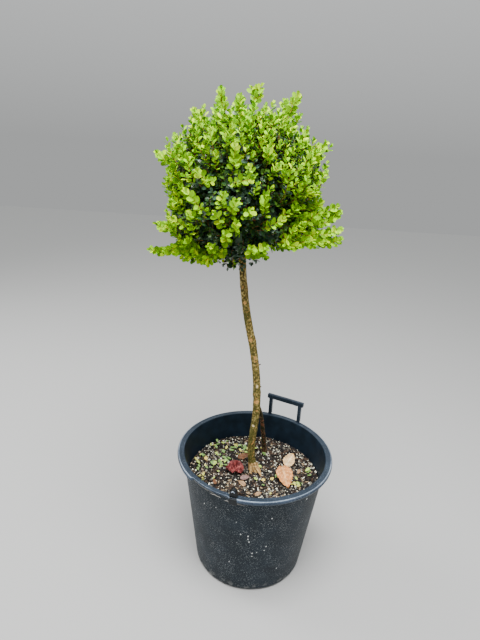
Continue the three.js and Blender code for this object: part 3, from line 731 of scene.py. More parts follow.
def moulded(name, outline, depth, ease, finish):
    """An outline in the plane of the rim's run, given a depth and eased edges."""
    mesh = bpy.data.meshes.new(name)
    count = len(outline)
    corners = [(x, y, z) for y in (-depth / 2, depth / 2) for x, z in outline]
    faces = [list(range(count)), list(range(2 * count - 1, count - 1, -1))]
    for index in range(count):
        after = (index + 1) % count
        faces.append([index, index + count, after + count, after])
    mesh.from_pydata(corners, [], faces)
    mesh.materials.append(finish)
    piece = placed(name, mesh)
    bevel = piece.modifiers.new("eased_edges", "BEVEL")
    bevel.width = ease
    bevel.segments = 3
    bevel.limit_method = "ANGLE"
    mesh.polygons.foreach_set("use_smooth", [True] * len(mesh.polygons))
    normals = piece.modifiers.new("even_light", "WEIGHTED_NORMAL")
    normals.keep_sharp = True
    return piece


def make_handle():
    half = HANDLE_SPAN / 2
    low = HANDLE_RISE - HANDLE_BAR
    outline = [
        (-half, 0), (-half, low), (-half - HANDLE_NUB, low), (-half - HANDLE_NUB, HANDLE_RISE),
        (half + HANDLE_NUB, HANDLE_RISE), (half + HANDLE_NUB, low), (half, low), (half, 0),
        (half - HANDLE_LEG, 0), (half - HANDLE_LEG, low), (-half + HANDLE_LEG, low), (-half + HANDLE_LEG, 0),
    ]
    # The handle is painted lighter than the wall, a painted sheen
    piece = moulded("rear_handle", outline, HANDLE_DEPTH, HANDLE_EASE, painted_sheen_plastic)
    piece.data.transform(rim_frame(HANDLE_BEARING))
    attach(piece, "root")
    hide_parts("pot_handle")


def make_stump():
    """The near handle's broken foot, with the socket that holds it over the bead and a pale curl that is a
    painted highlight on its loop.
    """
    seat = rim_frame(STUMP_BEARING)
    piece = moulded("broken_handle_foot", STUMP_OUTLINE, HANDLE_DEPTH, STUMP_EASE, stump_black)
    piece.data.transform(seat)
    socket = moulded("handle_socket", SOCKET_OUTLINE, SOCKET_DEPTH, SOCKET_EASE, stump_black)
    socket.data.transform(seat @ Matrix.Translation((0, SOCKET_OUT, 0)))
    # A pale arc on the foot: a painted highlight of its loop
    x, y, z = CURL_CENTRE
    curl = []
    for step in range(CURL_STEPS + 1):
        turn = math.pi * step / CURL_STEPS
        spot = Vector((x + CURL_RADIUS * math.cos(turn), y, z + CURL_RADIUS * math.sin(turn)))
        curl.append(tuple(seat @ spot))
    strand = limb(curl, 6, lambda share, turn, centre: CURL_STRAND)
    mesh_piece("loop_highlight_curl", "pot_plastic", *strand, [painted_highlight_plastic])
    for part in (piece, socket):
        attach(part, "root")
    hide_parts("pot_handle_stump")


# The potting mix

def soil_height(x, y):
    """The mix's surface: a low mound round the trunk, a step round it, and a slope down to the wall."""
    radius = math.hypot(x, y)
    inner, outer = STEP_RADII
    level = mix(MOUND_LEVEL, STEP_LEVEL, smooth_step(MOUND_RADIUS - 0.01, inner + 0.01, radius))
    level -= (STEP_LEVEL - WALL_LEVEL) * smooth_step(outer - 0.02, inner_radius(WALL_LEVEL), radius)
    return level + SOIL_WAVES * (ripple(x * 14, y * 14, 1) + 0.5 * ripple(x * 45, y * 45, 2))


def make_soil():
    edge = inner_radius(WALL_LEVEL) - MIX_CLEARANCE
    ways = [outward(360 * column / SOIL_COLUMNS) for column in range(SOIL_COLUMNS)]
    places = []
    for ring in range(SOIL_RINGS + 1):
        radius = max(0.0003, edge * ring / SOIL_RINGS)
        for way in ways:
            x, y = way.x * radius, way.y * radius
            rough = SOIL_ROUGH * ripple(x * 160, y * 160, 4)
            places.append((x, y, soil_height(x, y) - SOIL_SUNK + rough))
    for radius, height in (
        (inner_radius(SIDE_LEVEL) - MIX_CLEARANCE, SIDE_LEVEL),
        (inner_radius(FLOOR) - 0.006, FLOOR + 0.002),
    ):
        places += [(way.x * radius, way.y * radius, height) for way in ways]
    faces = grid_faces(SOIL_RINGS + 3, SOIL_COLUMNS)
    mesh_piece("soil", "potting_mix", places, faces, [soil_dark], node=("potting_mix",))


def turned_box(size, bumpiness):
    """Eight corners of a rough chip, turned at random and tipped a little."""
    signs = np.array([(x, y, z) for x in (-1, 1) for y in (-1, 1) for z in (-1, 1)], float)
    corners = signs * size / 2 * (1 + bumpiness * (dice.random((8, 3)) - 0.6))
    turn = dice.random() * 2 * math.pi
    tip = 0.9 * (dice.random() - 0.5)
    roll = 0.9 * (dice.random() - 0.5)
    spin = Matrix.Rotation(turn, 3, "Z") @ Matrix.Rotation(tip, 3, "X") @ Matrix.Rotation(roll, 3, "Y")
    return corners @ np.array(spin).T


CHIP_FACES = np.array([(0, 1, 3, 2), (4, 6, 7, 5), (0, 4, 5, 1), (2, 3, 7, 6), (0, 2, 6, 4), (1, 5, 7, 3)])


def make_chips(name, count, sizes, flatness, colours, shares, bumpiness=0.5):
    """Rough chips strewn evenly over the mix, clear of the pot's wall."""
    parts, paint = [], []
    for _ in range(count):
        long = mix(*sizes, dice.random() ** 2)
        size = np.array((long, long * between(0.4, 0.8), long * between(*flatness)))
        edge = inner_radius(WALL_LEVEL) - long * 0.62 - 0.001
        spot = outward(360 * dice.random()) * edge * math.sqrt(dice.random())
        lift = soil_height(spot.x, spot.y) + size[2] * 0.25 + 0.0012
        parts.append((turned_box(size, bumpiness) + (spot.x, spot.y, lift), CHIP_FACES))
        paint += [dice.choice(len(colours), p=shares)] * len(CHIP_FACES)
    mesh_piece(name, "potting_mix", *joined(parts), colours, paint, smooth=False)


def fallen_leaf(x, y, length, width, turn, crumple):
    """A dry leaf on the mix, its middle at x and y, with a pointed tip, curled edges and a crumpled blade.
    Gives its points and faces, and which of the faces are veins."""
    along = np.linspace(0, 1, FALLEN_ROWS)
    across = np.linspace(-1, 1, FALLEN_COLUMNS)
    angle = math.radians(turn)
    way = Vector((math.cos(angle), math.sin(angle), 0))
    beside = Vector((-math.sin(angle), math.cos(angle), 0))
    places, veins = [], []
    for share in along:
        half = width / 2 * math.sin(math.pi * (0.03 + 0.97 * share) ** 0.8) ** 0.75 * (1 - 0.15 * share)
        half *= 1 + 0.06 * math.sin(share * 40 + x * 300)
        for side in across:
            flat = way * (share - 0.5) * length + beside * side * half
            wave = ripple(share * 3.2 + x * 90, side * 2.0 + y * 90, 1)
            fine = ripple(share * 9 + x * 50, side * 5 + y * 50, 7)
            lift = 0.004 + FALLEN_LEAN * (flat.y + length / 2)
            lift += crumple * length * (0.16 * wave + 0.05 * fine + 0.13 * side * side * (0.4 + share))
            places.append((x + flat.x, y + flat.y, soil_height(x, y) + max(0.002, lift)))
    for share in along[:-1]:
        for side in across[:-1] + 1 / (FALLEN_COLUMNS - 1):
            fork = (share * 6 - abs(side) * 1.3) % 1
            veins.append(1 if abs(side) < 0.08 or fork < 0.17 else 0)
    return np.array(places), grid_faces(FALLEN_ROWS, FALLEN_COLUMNS, closed=False), veins


def make_fallen_leaves():
    for name, (blade, vein) in fallen_colours.items():
        made = [fallen_leaf(*leaf[:5], leaf[6]) for leaf in FALLEN_LEAVES if leaf[5] == name]
        paint = np.concatenate([part[2] for part in made])
        parts = joined([part[:2] for part in made])
        mesh_piece(f"fallen_leaves_{name}", "potting_mix", *parts, [blade, vein], paint)


def make_shed_leaves():
    """The shrub's own green leaves that lie on the mix."""
    shed = []
    for x, y, spread, count in SHED_PATCHES:
        for _ in range(count):
            offset = Vector((*(spread * dice.standard_normal(2)), 0))
            spot = Vector((x, y, 0)) + offset
            limit = inner_radius(WALL_LEVEL) - SHED_CLEARANCE
            if spot.length > limit:
                spot *= limit / spot.length
            spot.z = soil_height(spot.x, spot.y) + SHED_LIFT
            turn = dice.random() * 2 * math.pi
            way = Vector((math.cos(turn), math.sin(turn), between(-0.1, 0.5)))
            face = Vector((*(0.5 * (dice.random(2) - 0.5)), 1))
            length = between(*SHED_LEAF)
            shed.append((spot, way, face, length, length * 0.6, 0.25, between(-0.05, 0.2)))
    paint = np.repeat(dice.choice(len(shed_colours), size=len(shed), p=SHED_SHARES), len(LEAF_FACES))
    mesh_piece("shed_leaves", "young_leaf", *leaf_meshes(shed), shed_colours, paint)


# Leaves

LEAF_STATIONS = np.array([0.0, 0.24, 0.55, 0.84, 1.0])
LEAF_HALF_WIDTHS = np.array([0.05, 0.33, 0.50, 0.40, 0.12])
LEAF_MIDRIB = np.array([0.0, 0.24, 0.55, 0.84, 0.97])
LEAF_FACES = grid_faces(len(LEAF_STATIONS), 3, closed=False)


def leaf_meshes(leaves):
    """Points and faces of many leaves. A leaf is (root, way, face, length, width, fold, curl)."""
    root, way, face = (np.array([leaf[index] for leaf in leaves], float) for index in range(3))
    length, width, fold, curl = (np.array([leaf[index] for leaf in leaves], float) for index in range(3, 7))
    way /= np.linalg.norm(way, axis=1)[:, None]
    side = np.cross(way, face)
    side /= np.maximum(np.linalg.norm(side, axis=1), 1e-9)[:, None]
    face = np.cross(side, way)
    along = np.stack([LEAF_STATIONS, LEAF_MIDRIB, LEAF_STATIONS], -1).ravel()
    across = np.stack([-LEAF_HALF_WIDTHS, 0 * LEAF_HALF_WIDTHS, LEAF_HALF_WIDTHS], -1).ravel()
    lift = np.abs(across)[None] * (width * fold)[:, None] + (along**2)[None] * (length * curl)[:, None]
    places = (
        root[:, None]
        + way[:, None] * (along[None] * length[:, None])[..., None]
        + side[:, None] * (across[None] * width[:, None])[..., None]
        + face[:, None] * lift[..., None]
    )
    faces = LEAF_FACES[None] + (np.arange(len(leaves)) * len(along))[:, None, None]
    return places.reshape(-1, 3), faces.reshape(-1, 4)


# The stems

def trunk_radius(share, turn, centre):
    taper = mix(TRUNK_FOOT_RADIUS, TRUNK_TIP_RADIUS, share**TRUNK_TAPER)
    near = max(0, 1 - share * (TRUNK_LINE[-1][2] - MOUND_LEVEL) / FLARE_HEIGHT) ** 2
    lobes = max(max(0, math.cos(turn - math.radians(bearing))) ** 3 for bearing in FLARE_BEARINGS)
    plain = taper * (1 + near * (FLARE_BETWEEN + FLARE_SPREAD * lobes))
    height = centre[2]
    ridge = ripple(*ring_spot(turn, 1.6), height * 7)
    grain = ripple(*ring_spot(turn, 5), height * 90)
    knots = max(0, ripple(*ring_spot(turn, 1.3), height * 24) - 0.42)
    return plain * (1 + 0.045 * ridge + 0.07 * grain) + BARK_PROUD + 0.006 * knots


def second_radius(share, turn, centre):
    spread = SECOND_FLARE * max(0, 1 - share / SECOND_FLARE_SHARE)
    ridge = ripple(*ring_spot(turn, 2), centre[2] * 14 + 9)
    return mix(SECOND_FOOT_RADIUS, SECOND_TIP_RADIUS, share) * (1 + spread + 0.12 * ridge)


trunk_spots = smooth_line(TRUNK_LINE, TRUNK_RINGS)


def trunk_point_at(height):
    return Vector(trunk_spots[np.abs(trunk_spots[:, 2] - height).argmin()])


def make_trunk():
    finishes = [trunk_bark, scar_pale, scar_orange, root_bark]
    places, faces = limb(trunk_spots, TRUNK_SIDES, trunk_radius)
    middles = places[faces].mean(axis=1)
    paint = np.zeros(len(faces), int)
    for height, bearing, half_width, half_height, finish in SCARS:
        way = outward(bearing)
        axis = trunk_point_at(height)
        apart = middles - np.array(axis + way * TRUNK_TIP_RADIUS)
        facing = (middles - np.array(axis)) @ np.array(way) > 0
        level = np.hypot(apart[:, 0], apart[:, 1]) / half_width
        paint[facing & (np.hypot(level, apart[:, 2] / half_height) < 1)] = finish
    ragged = np.array([0.010 * noise.noise(Vector(spot) * 90) for spot in middles])
    paint[middles[:, 2] + ragged < ROOT_TOP] = finishes.index(root_bark)
    mesh_piece("trunk_bark", "trunk_bark", places, faces, finishes, paint, node=("trunk",))


def make_stems():
    make_trunk()
    snags = []
    for height, bearing, length in SNAGS:
        foot = trunk_point_at(height)
        tip = foot + outward(bearing, 35) * (TRUNK_TIP_RADIUS + length)
        snags.append(limb(np.linspace(foot, tip, 6), 7, lambda share, turn, centre: mix(*SNAG_RADII, share)))
    mesh_piece("trunk_snags", "trunk_bark", *joined(snags), [second_bark])
    roots = []
    for index, line in enumerate(ROOT_LINES):
        seed = Vector((index * 3, 1, 2))

        def root_radius(share, turn, centre):
            return mix(*ROOT_RADII, share) * (1 + 0.25 * noise.noise(Vector(centre) * 130 + seed))

        roots.append(limb(smooth_line(line, 24), 10, root_radius))
    mesh_piece("surface_roots", "trunk_bark", *joined(roots), [root_bark])
    bark = limb(smooth_line(SECOND_LINE + [SECOND_END], SECOND_RINGS), SECOND_SIDES, second_radius)
    mesh_piece("second_stem_bark", "second_stem_bark", *bark, [second_bark], node=("second_stem",))


# The crown

def mass_plan():
    """Each mass's name, middle, and the smooth limb that carries it from the trunk to its middle."""
    masses = []
    for ring in MASS_RINGS:
        for index in range(ring["count"]):
            bearing = ring["bearing"] + 360 / ring["count"] * index
            middle = CROWN + outward(bearing, ring["elevation"]) * MASS_REACH
            if ring["count"] == 1:
                foot = Vector(trunk_spots[-TOP_BOUGH_BACK])
                leave = Vector(trunk_spots[-1] - trunk_spots[-TOP_BOUGH_BACK]).normalized()
                name = ring["label"]
            else:
                foot = trunk_point_at(ring["foot"] + ring["step"] * index)
                leave = outward(bearing, ring["lift"])
                name = f"{ring['label']}_{index + 1}"
            reach = (middle - foot).length
            line = [foot, foot + leave * reach * 0.3, foot.lerp(middle, 0.62), middle]
            masses.append({"name": name, "middle": middle, "radius": ring["radius"], "line": line})
    return masses


def curve(points, count):
    """Points on the Bezier curve with the given control points."""
    shares = np.linspace(0, 1, count)[:, None]
    points = [np.array(tuple(p)) * np.ones((count, 1)) for p in points]
    while len(points) > 1:
        points = [a + (b - a) * shares for a, b in zip(points, points[1:])]
    return points[0]


def even_ways(count):
    """Directions spread evenly over a ball."""
    golden = math.pi * (3 - math.sqrt(5))
    rise = 1 - 2 * (np.arange(count) + 0.5) / count
    flat = np.sqrt(1 - rise**2)
    turn = golden * np.arange(count)
    return [Vector(way) for way in np.stack([flat * np.cos(turn), flat * np.sin(turn), rise], -1)]


def body_reach(way):
    """How far the clipped ball reaches along a way out of its middle."""
    step = 360 / len(CROWN_OUTLINE)
    turn = math.degrees(math.atan2(way[2], way[0])) % 360 / step
    first = int(turn) % len(CROWN_OUTLINE)
    after = (first + 1) % len(CROWN_OUTLINE)
    share = (1 - math.cos(math.pi * (turn - int(turn)))) / 2
    side = mix(CROWN_OUTLINE[first], CROWN_OUTLINE[after], share)
    uneven = CROWN_UNEVEN * noise.noise(Vector(way) * 3.1 + Vector((5, 1, 2)))
    return mix(side, CROWN_DEPTH, way[1] ** 2) + uneven


def flush_share(way):
    """The share of shoots with new leaves, from the way out of the crown. New growth comes in clumps, and
    there is little of it low in front, where old leaves and painted shade make the crown dark, and right
    underneath, where the dark old leaves are painted shade."""
    way = Vector(way).normalized()
    in_front = smooth_step(0.60, 0.77, way.dot(Vector(DARK_WAY).normalized()))
    underneath = smooth_step(0.70, 0.95, way.dot(Vector(SHADE_UNDER_WAY).normalized()))
    dark = max(in_front, 0.8 * underneath)
    clumps = noise.noise(way * 7.5 + Vector((2, 7, 4)))
    share = mix(0.84, 0.02, dark) + 0.16 * way.z + 0.10 * way.x + mix(0.75, 0.10, dark) * clumps
    return min(0.98, max(0.01, share))


def heading_at(way, spread=0.5):
    """The way a shoot's end points: outwards and up, more upright higher in the crown."""
    lift = mix(UPRIGHT_LOW, UPRIGHT_HIGH, (way.z + 1) / 2)
    return (way * 0.5 + Vector((0, 0, lift)) + scatter(spread)).normalized()


def crown_shoots(masses):
    """The crown's shoots, each with its mass, its line of points and what grows on it."""
    twigs = {mass["name"]: [] for mass in masses}
    shoots = []

    def nearest(spot):
        return min(masses, key=lambda mass: (mass["middle"] - spot).length)

    def add(mass, line, foot, young, sizes, leafy=None):
        shoots.append({
            "mass": mass["name"], "line": line, "foot": foot, "young": young, "sizes": sizes, "leafy": leafy,
        })

    def grow_twig(tip, way, spread, hook, count):
        """A shoot's line from the outer part of the nearest bough to a tip. Finer shoots start on it."""
        mass = nearest(tip)
        bough = smooth_line(mass["line"], BOUGH_POINTS)
        start = Vector(bough[int(between(TWIGS_FROM, 1) * (BOUGH_POINTS - 1))])
        length = (tip - start).length
        leave = (tip - mass["middle"]).normalized()
        arrive = tip - heading_at(way, spread) * length * hook
        line = curve((start, start + leave * length * 0.35, arrive, tip), count)
        twigs[mass["name"]].append(line)
        return mass, line

    def joint_near(tip, spot):
        """The mass nearest to a tip, the place on its twigs nearest to a spot, and the twig's way there."""
        mass = nearest(tip)
        first, end = JOINT_POINTS
        least = math.inf
        for line in twigs[mass["name"]]:
            gaps = np.linalg.norm(line[first:end] - np.array(spot), axis=1)
            at = first + gaps.argmin()
            if gaps.min() < least:
                least = gaps.min()
                start = Vector(line[at])
                tangent = Vector(line[at + 1] - line[at - 1]).normalized()
        return mass, start, tangent

    def add_side_shoots(mass, line, count, sizes, reach):
        """Short side shoots along the outer half of a spray, left and right by turns."""
        for index in range(count):
            at = int(len(line) * mix(0.45, 0.88, (index + 0.5 * dice.random()) / count))
            start = Vector(line[at])
            forward = Vector(line[at] - line[at - 1]).normalized()
            beside = forward.cross(Vector((0.2, 0.1, 1))).normalized() * (1 if index % 2 else -1)
            way = (forward * 0.8 + beside * between(0.5, 0.8) + Vector((0, 0, 0.25))).normalized()
            length = reach * between(0.6, 1) * (1 - 0.4 * index / count)
            bend = start + (way - forward * 0.2) * length * 0.5
            line_out = curve((start, bend, start + way * length), 7)
            add(mass, line_out, FINE_RADIUS, True, sizes, length * 0.92)

    for place in LONG_SHOOTS:
        tip = from_mm(place)
        way = (tip - CROWN).normalized()
        tip -= way * 0.008
        mass, line = grow_twig(tip, way, 0.2, 0.2, 16)
        out_of_ball = max(0.03, (tip - CROWN).length - body_reach(way) + 0.03)
        add(mass, line, TWIG_RADIUS, True, SPRAY_LEAF, out_of_ball + 0.02)
        add_side_shoots(mass, line[6:], 3, SPRAY_LEAF, 0.040)
    for way in even_ways(MAIN_SHOOTS):
        tip = CROWN + way * (body_reach(way) - 0.022 - 0.020 * dice.random())
        mass, line = grow_twig(tip, way, 0.5, 0.3, 14)
        add(mass, line, TWIG_RADIUS, dice.random() < flush_share(way), YOUNG_LEAF)
    for place, foot, sides in FRONT_SPRAYS:
        tip, foot = from_mm(place), from_mm(foot)
        mass, start, _ = joint_near(foot, foot + (CROWN - foot).normalized() * 0.05)
        heading = (tip - foot).normalized()
        bends = start.lerp(foot, 0.7), foot - heading * 0.012, foot + heading * 0.02
        line = curve((start, *bends, tip), 16)
        add(mass, line, FINE_RADIUS * 1.2, True, SPRAY_LEAF, (tip - foot).length + 0.010)
        add_side_shoots(mass, line, sides, SPRAY_LEAF, 0.028)
    for way in even_ways(YOUNG_SHOOTS):
        way = (way + scatter(0.10)).normalized()
        if dice.random() > flush_share(way):
            continue
        stretch = between(-0.016, 0.012)
        if dice.random() < 0.2:
            stretch += between(0.006, 0.024)
        tip = CROWN + way * (body_reach(way) - 0.006 + stretch)
        heading = heading_at(way, 0.7)
        length = between(0.034, 0.066)
        foot = tip - heading * length
        mass, start, _ = joint_near(tip, foot - way * 0.03)
        line = curve((start, start.lerp(foot, 0.8), tip - heading * length * 0.7, tip), 10)
        add(mass, line, FINE_RADIUS, True, YOUNG_LEAF, length)
    for way in even_ways(OLD_SHOOTS):
        way = (way + scatter(0.09)).normalized()
        tip = CROWN + way * (body_reach(way) - between(0.020, 0.052))
        mass, start, tangent = joint_near(tip, tip - way * between(0.050, 0.070))
        length = (tip - start).length
        leave = (tangent + way * 0.9).normalized()
        line = curve((start, start + leave * length * 0.4, tip - heading_at(way) * length * 0.4, tip), 8)
        add(mass, line, FINE_RADIUS, False, MATURE_LEAF)
    for way in even_ways(INNER_SHOOTS):
        way = (way + scatter(0.2)).normalized()
        tip = CROWN + way * body_reach(way) * mix(0.22, 0.78, dice.random() ** 0.6)
        mass, start, tangent = joint_near(tip, tip - way * 0.05)
        bend = start + (tangent + way) * (tip - start).length * 0.25
        add(mass, curve((start, bend, tip), 7), FINE_RADIUS, False, MATURE_LEAF)
    for place in LOW_TIPS:
        tip = from_mm(place)
        mass, start, _ = joint_near(tip, tip + Vector((0, 0, 0.05)))
        bend = start.lerp(tip, 0.5) + (tip - CROWN) * 0.05
        add(mass, curve((start, bend, tip), 8), FINE_RADIUS, False, MATURE_LEAF)
    return shoots


YOUNG_KINDS = ["young_yellow", "young_bright", "young_green"]
MATURE_KINDS = ["mature_mid", "mature_dark", "mature_blue"]
TIP_SHARES = (0.36, 0.50, 0.14)
NEW_SHARES = (0.10, 0.48, 0.42)
MATURE_SHARES = {"lit": (0.50, 0.32, 0.18), "shade": (0.20, 0.50, 0.30)}


def shoot_leaves(shoot):
    """Leaves in pairs along a shoot, each pair turned a quarter from the last, and a small tuft at the tip.
    The youngest, at the tip, are the smallest and yellowest. Those of a spray face the viewer, or away from
    the viewer at the back. Gives (kind, leaf) for each."""
    line = shoot["line"]
    run = np.concatenate([[0], np.cumsum(np.linalg.norm(np.diff(line, axis=0), axis=1))])
    total = run[-1]

    def spot_at(place):
        return Vector([np.interp(place, run, line[:, axis]) for axis in range(3)])

    young_part = shoot["leafy"] or between(0.030, 0.052)
    leafy = min(total * 0.94, young_part + between(0.024, 0.045))
    tip = Vector(line[-1])
    outwards = tip - CROWN
    is_spray = shoot["sizes"] is SPRAY_LEAF
    spray_face = Vector((0.15, 0.75 if outwards.normalized().y > 0.4 else -0.75, 0.45))
    greener = 0.25 * noise.noise(outwards * 16)
    mature_shares = MATURE_SHARES["lit" if outwards.z > 0.05 else "shade"]
    mature_kind = MATURE_KINDS[dice.choice(3, p=mature_shares)]
    turn = math.pi / 4 + (0.5 if is_spray else 1.5) * (dice.random() - 0.5)
    found = []
    back = 0.003
    while back < leafy:
        at = total - back
        spot = spot_at(at)
        forward = (spot_at(min(total, at + 0.004)) - spot_at(at - 0.004)).normalized()
        across = Vector((0.04, 0.02, 1)).cross(forward).normalized()
        across.rotate(Matrix.Rotation(turn, 3, forward))
        level = 1 - abs(forward.z)
        new = shoot["young"] and back < young_part
        grown = min(1, back / GROWING_LENGTH)
        for hand in (1, -1):
            usual_lean = mix(*YOUNG_LEAN, grown) if new else MATURE_LEAN
            lean = math.radians(usual_lean + 16 * (dice.random() - 0.5))
            way = forward * math.cos(lean) + across * hand * math.sin(lean)
            way += scatter(0.24) + Vector((0, 0, 0.04 if new else -0.10))
            face = forward * mix(1, 0.35, level) + scatter(0.35) + Vector((0, -0.15, 0.6))
            if is_spray:
                way.y *= 0.4
                face = spray_face + scatter(0.7)
            else:
                way.z *= mix(1, 0.62, level)
            sizes = shoot["sizes"] if new else MATURE_LEAF
            length = between(*sizes) * min(1, 0.55 + back / GROWING_LENGTH)
            width = length * between(0.58, 0.70)
            fold = between(*(YOUNG_FOLD if new else MATURE_FOLD))
            bend = between(*(YOUNG_BEND if new else MATURE_BEND))
            if new:
                yellow, bright, _ = TIP_SHARES if back < TIP_LENGTH else NEW_SHARES
                pick = dice.random() + greener
                kind = YOUNG_KINDS[0 if pick < yellow else 1 if pick < yellow + bright else 2]
            else:
                kind = mature_kind if dice.random() > 0.22 else MATURE_KINDS[dice.integers(3)]
            found.append((kind, (spot, way, face, length, width, fold, bend)))
        turn += math.pi / 2
        gap = between(*PAIR_GAP) * (1.0 if new else MATURE_GAP)
        back += gap * (shoot["sizes"][1] / 0.019)
    forward = Vector(line[-1] - line[-2]).normalized()
    for _ in range(2):
        way = forward + scatter(0.5)
        kind = YOUNG_KINDS[dice.choice(3, p=TIP_SHARES)] if shoot["young"] else mature_kind
        length = between(*TUFT_LEAF)
        found.append((kind, (tip - forward * 0.002, way, scatter(1), length, length * 0.55, 0.4, 0.1)))
    return found


def make_crown():
    masses = mass_plan()
    shoots = crown_shoots(masses)
    leaves = [shoot_leaves(shoot) for shoot in shoots]
    for mass in masses:
        name = mass["name"]

        def bough_radius(share, turn, centre):
            rough = ripple(*ring_spot(turn, 2), centre[2] * 60)
            return mix(mass["radius"], BOUGH_TIP_RADIUS, share**0.8) * (1 + 0.12 * rough)

        bark = limb(smooth_line(mass["line"], BOUGH_RINGS), BOUGH_SIDES, bough_radius)
        mesh_piece(f"bough_{name}_bark", "twig_bark", *bark, [twig_bark], node=(f"bough_{name}",))
        mine = [index for index, shoot in enumerate(shoots) if shoot["mass"] == name]
        parts = []
        for index in mine:
            line, foot = shoots[index]["line"], shoots[index]["foot"]
            sides = 5 if foot > 0.0012 else 3
            parts.append(limb(line, sides, lambda share, turn, centre: mix(foot, TWIG_TIP_RADIUS, share)))
        mesh_piece(f"twigs_{name}", "twig_bark", *joined(parts), [twig_bark], node=(f"foliage_{name}",))
        for title, kinds, slot in (
            ("young_leaves", YOUNG_KINDS, "young_leaf"),
            ("mature_leaves", MATURE_KINDS, "mature_leaf"),
        ):
            chosen = [leaf for index in mine for leaf in leaves[index] if leaf[0] in kinds]
            parts = leaf_meshes([leaf for _, leaf in chosen])
            paint = np.repeat([kinds.index(kind) for kind, _ in chosen], len(LEAF_FACES))
            finishes = [leaf_materials[kind] for kind in kinds]
            mesh_piece(f"{title}_{name}", slot, *parts, finishes, paint)


# The floor, the light and the camera

FLOOR_HALF = 8
FLOOR_COLOUR = (0.40, 0.40, 0.395)
SKY_COLOUR = (0.96, 0.98, 0.98, 1)

# The sky's strength at the horizon, how far up it has grown in full, and its full strength
SKY_LOW = 0.42
SKY_RISE = 0.8
SKY_HIGH = 1.15

# Each lamp's name, place, aim, size and power
LAMPS = [
    ("overhead", (0.1, -0.95, 3.4), (0, 0, 0.9), 2.0, 235),
    ("left_rear", (-2.8, 0.9, 2.4), (-0.1, 0, 0.9), 1.6, 75),
]


def make_floor():
    mesh = bpy.data.meshes.new("floor")
    corners = [(x * FLOOR_HALF, y * FLOOR_HALF, 0) for x, y in ((-1, -1), (1, -1), (1, 1), (-1, 1))]
    mesh.from_pydata(corners, [], [(0, 1, 2, 3)])
    mesh.materials.append(finish_material("floor_pale", FLOOR_COLOUR, 0.9))
    floor = placed("floor", mesh)


def make_sky():
    world = bpy.data.worlds.new("soft_sky")
    world.use_nodes = True
    nodes, links = world.node_tree.nodes, world.node_tree.links
    sky = nodes["Background"]
    sky.inputs["Color"].default_value = SKY_COLOUR
    height = nodes.new("ShaderNodeSeparateXYZ")
    links.new(nodes.new("ShaderNodeTexCoord").outputs["Generated"], height.inputs["Vector"])
    strength = nodes.new("ShaderNodeMapRange")
    for name, value in (("From Min", 0), ("From Max", SKY_RISE), ("To Min", SKY_LOW), ("To Max", SKY_HIGH)):
        strength.inputs[name].default_value = value
    links.new(height.outputs["Z"], strength.inputs["Value"])
    links.new(strength.outputs["Result"], sky.inputs["Strength"])
    bpy.context.scene.world = world


def make_lamps():
    for name, place, aim, size, power in LAMPS:
        light = bpy.data.lights.new(name, "AREA")
        light.shape = "DISK"
        light.size = size
        light.energy = power
        lamp = placed(name, light)
        lamp.location = place
        lamp.rotation_mode = "QUATERNION"
        lamp.rotation_quaternion = (Vector(aim) - Vector(place)).to_track_quat("-Z", "Y")


def make_camera():
    roll = math.radians(CAMERA_ROLL)
    forward = outward(CAMERA_TURN, -CAMERA_DOWN)
    right = outward(CAMERA_TURN + 90)
    up = right.cross(forward)
    level = right * math.cos(roll) + up * math.sin(roll)
    upright = up * math.cos(roll) - right * math.sin(roll)
    data = bpy.data.cameras.new("camera")
    data.lens = CAMERA_LENS
    data.sensor_width = 36
    camera = placed("camera", data)
    axes = Matrix((level, upright, -forward)).transposed()
    camera.matrix_world = Matrix.Translation(CAMERA_PLACE) @ axes.to_4x4()
    bpy.context.scene.camera = camera


# The finishes

pot_plastic = pot_material(
    "pot_plastic", [(0.0022, 0.0043, 0.0070), (0.0042, 0.0075, 0.0120), (0.012, 0.0180, 0.0255)],
    (0.22, 0.23, 0.235),
)
# The rim's top and the rear handle: the same plastic painted lighter than the wall, a painted sheen
painted_sheen_plastic = pot_material(
    "painted_sheen_plastic", [(0.008, 0.013, 0.021), (0.014, 0.022, 0.034), (0.026, 0.037, 0.054)],
    (0.10, 0.12, 0.15), 0.36,
)
# Pale blue-grey plastic: a painted highlight along the bead's shoulder and on the near handle's curl
painted_highlight_plastic = pot_material(
    "painted_highlight_plastic", [(0.070, 0.090, 0.125), (0.150, 0.185, 0.240), (0.300, 0.345, 0.410)],
    (0.45, 0.50, 0.56), 0.34,
)
# The bead's outer face: the same plastic painted lighter, a painted sheen
bead_face_sheen = pot_material(
    "bead_face_sheen", [(0.016, 0.023, 0.036), (0.032, 0.044, 0.066), (0.056, 0.074, 0.104)],
    (0.15, 0.18, 0.22), 0.34,
)
INSIDE_BLACK = (0.0045, 0.0095, 0.0170)
pot_inside = finish_material(
    "pot_inside", INSIDE_BLACK, 0.5, Specular_IOR_Level=0.3, Specular_Tint=POT_SHEEN,
)
inside_tone = ramped(pot_inside, noise_at(pot_inside, 30, 6), shades(INSIDE_BLACK, 0.45))
paint_with(pot_inside, inside_tone, noise_at(pot_inside, 300), 0.25, 0.0005)
shred_grey = speckled("torn_edge_grey", (0.26, 0.25, 0.23), scale=300)
stump_black = speckled("stump_black", (0.0045, 0.0065, 0.0085), 0.4)
splash_pale = speckled("dried_splash", (0.62, 0.64, 0.64))
soil_dark = speckled("soil_dark", (0.020, 0.015, 0.011))
chip_colours = speckles({
    "chip_black": (0.012, 0.010, 0.009), "chip_brown": (0.050, 0.030, 0.018),
    "chip_tan": (0.26, 0.185, 0.105), "chip_grey": (0.13, 0.120, 0.095),
})
grit_colours = speckles({
    "grit_cream": (0.95, 0.88, 0.62), "grit_pink": (0.40, 0.31, 0.22), "grit_mauve": (0.22, 0.20, 0.17),
    "grit_dark": (0.024, 0.021, 0.019),
})
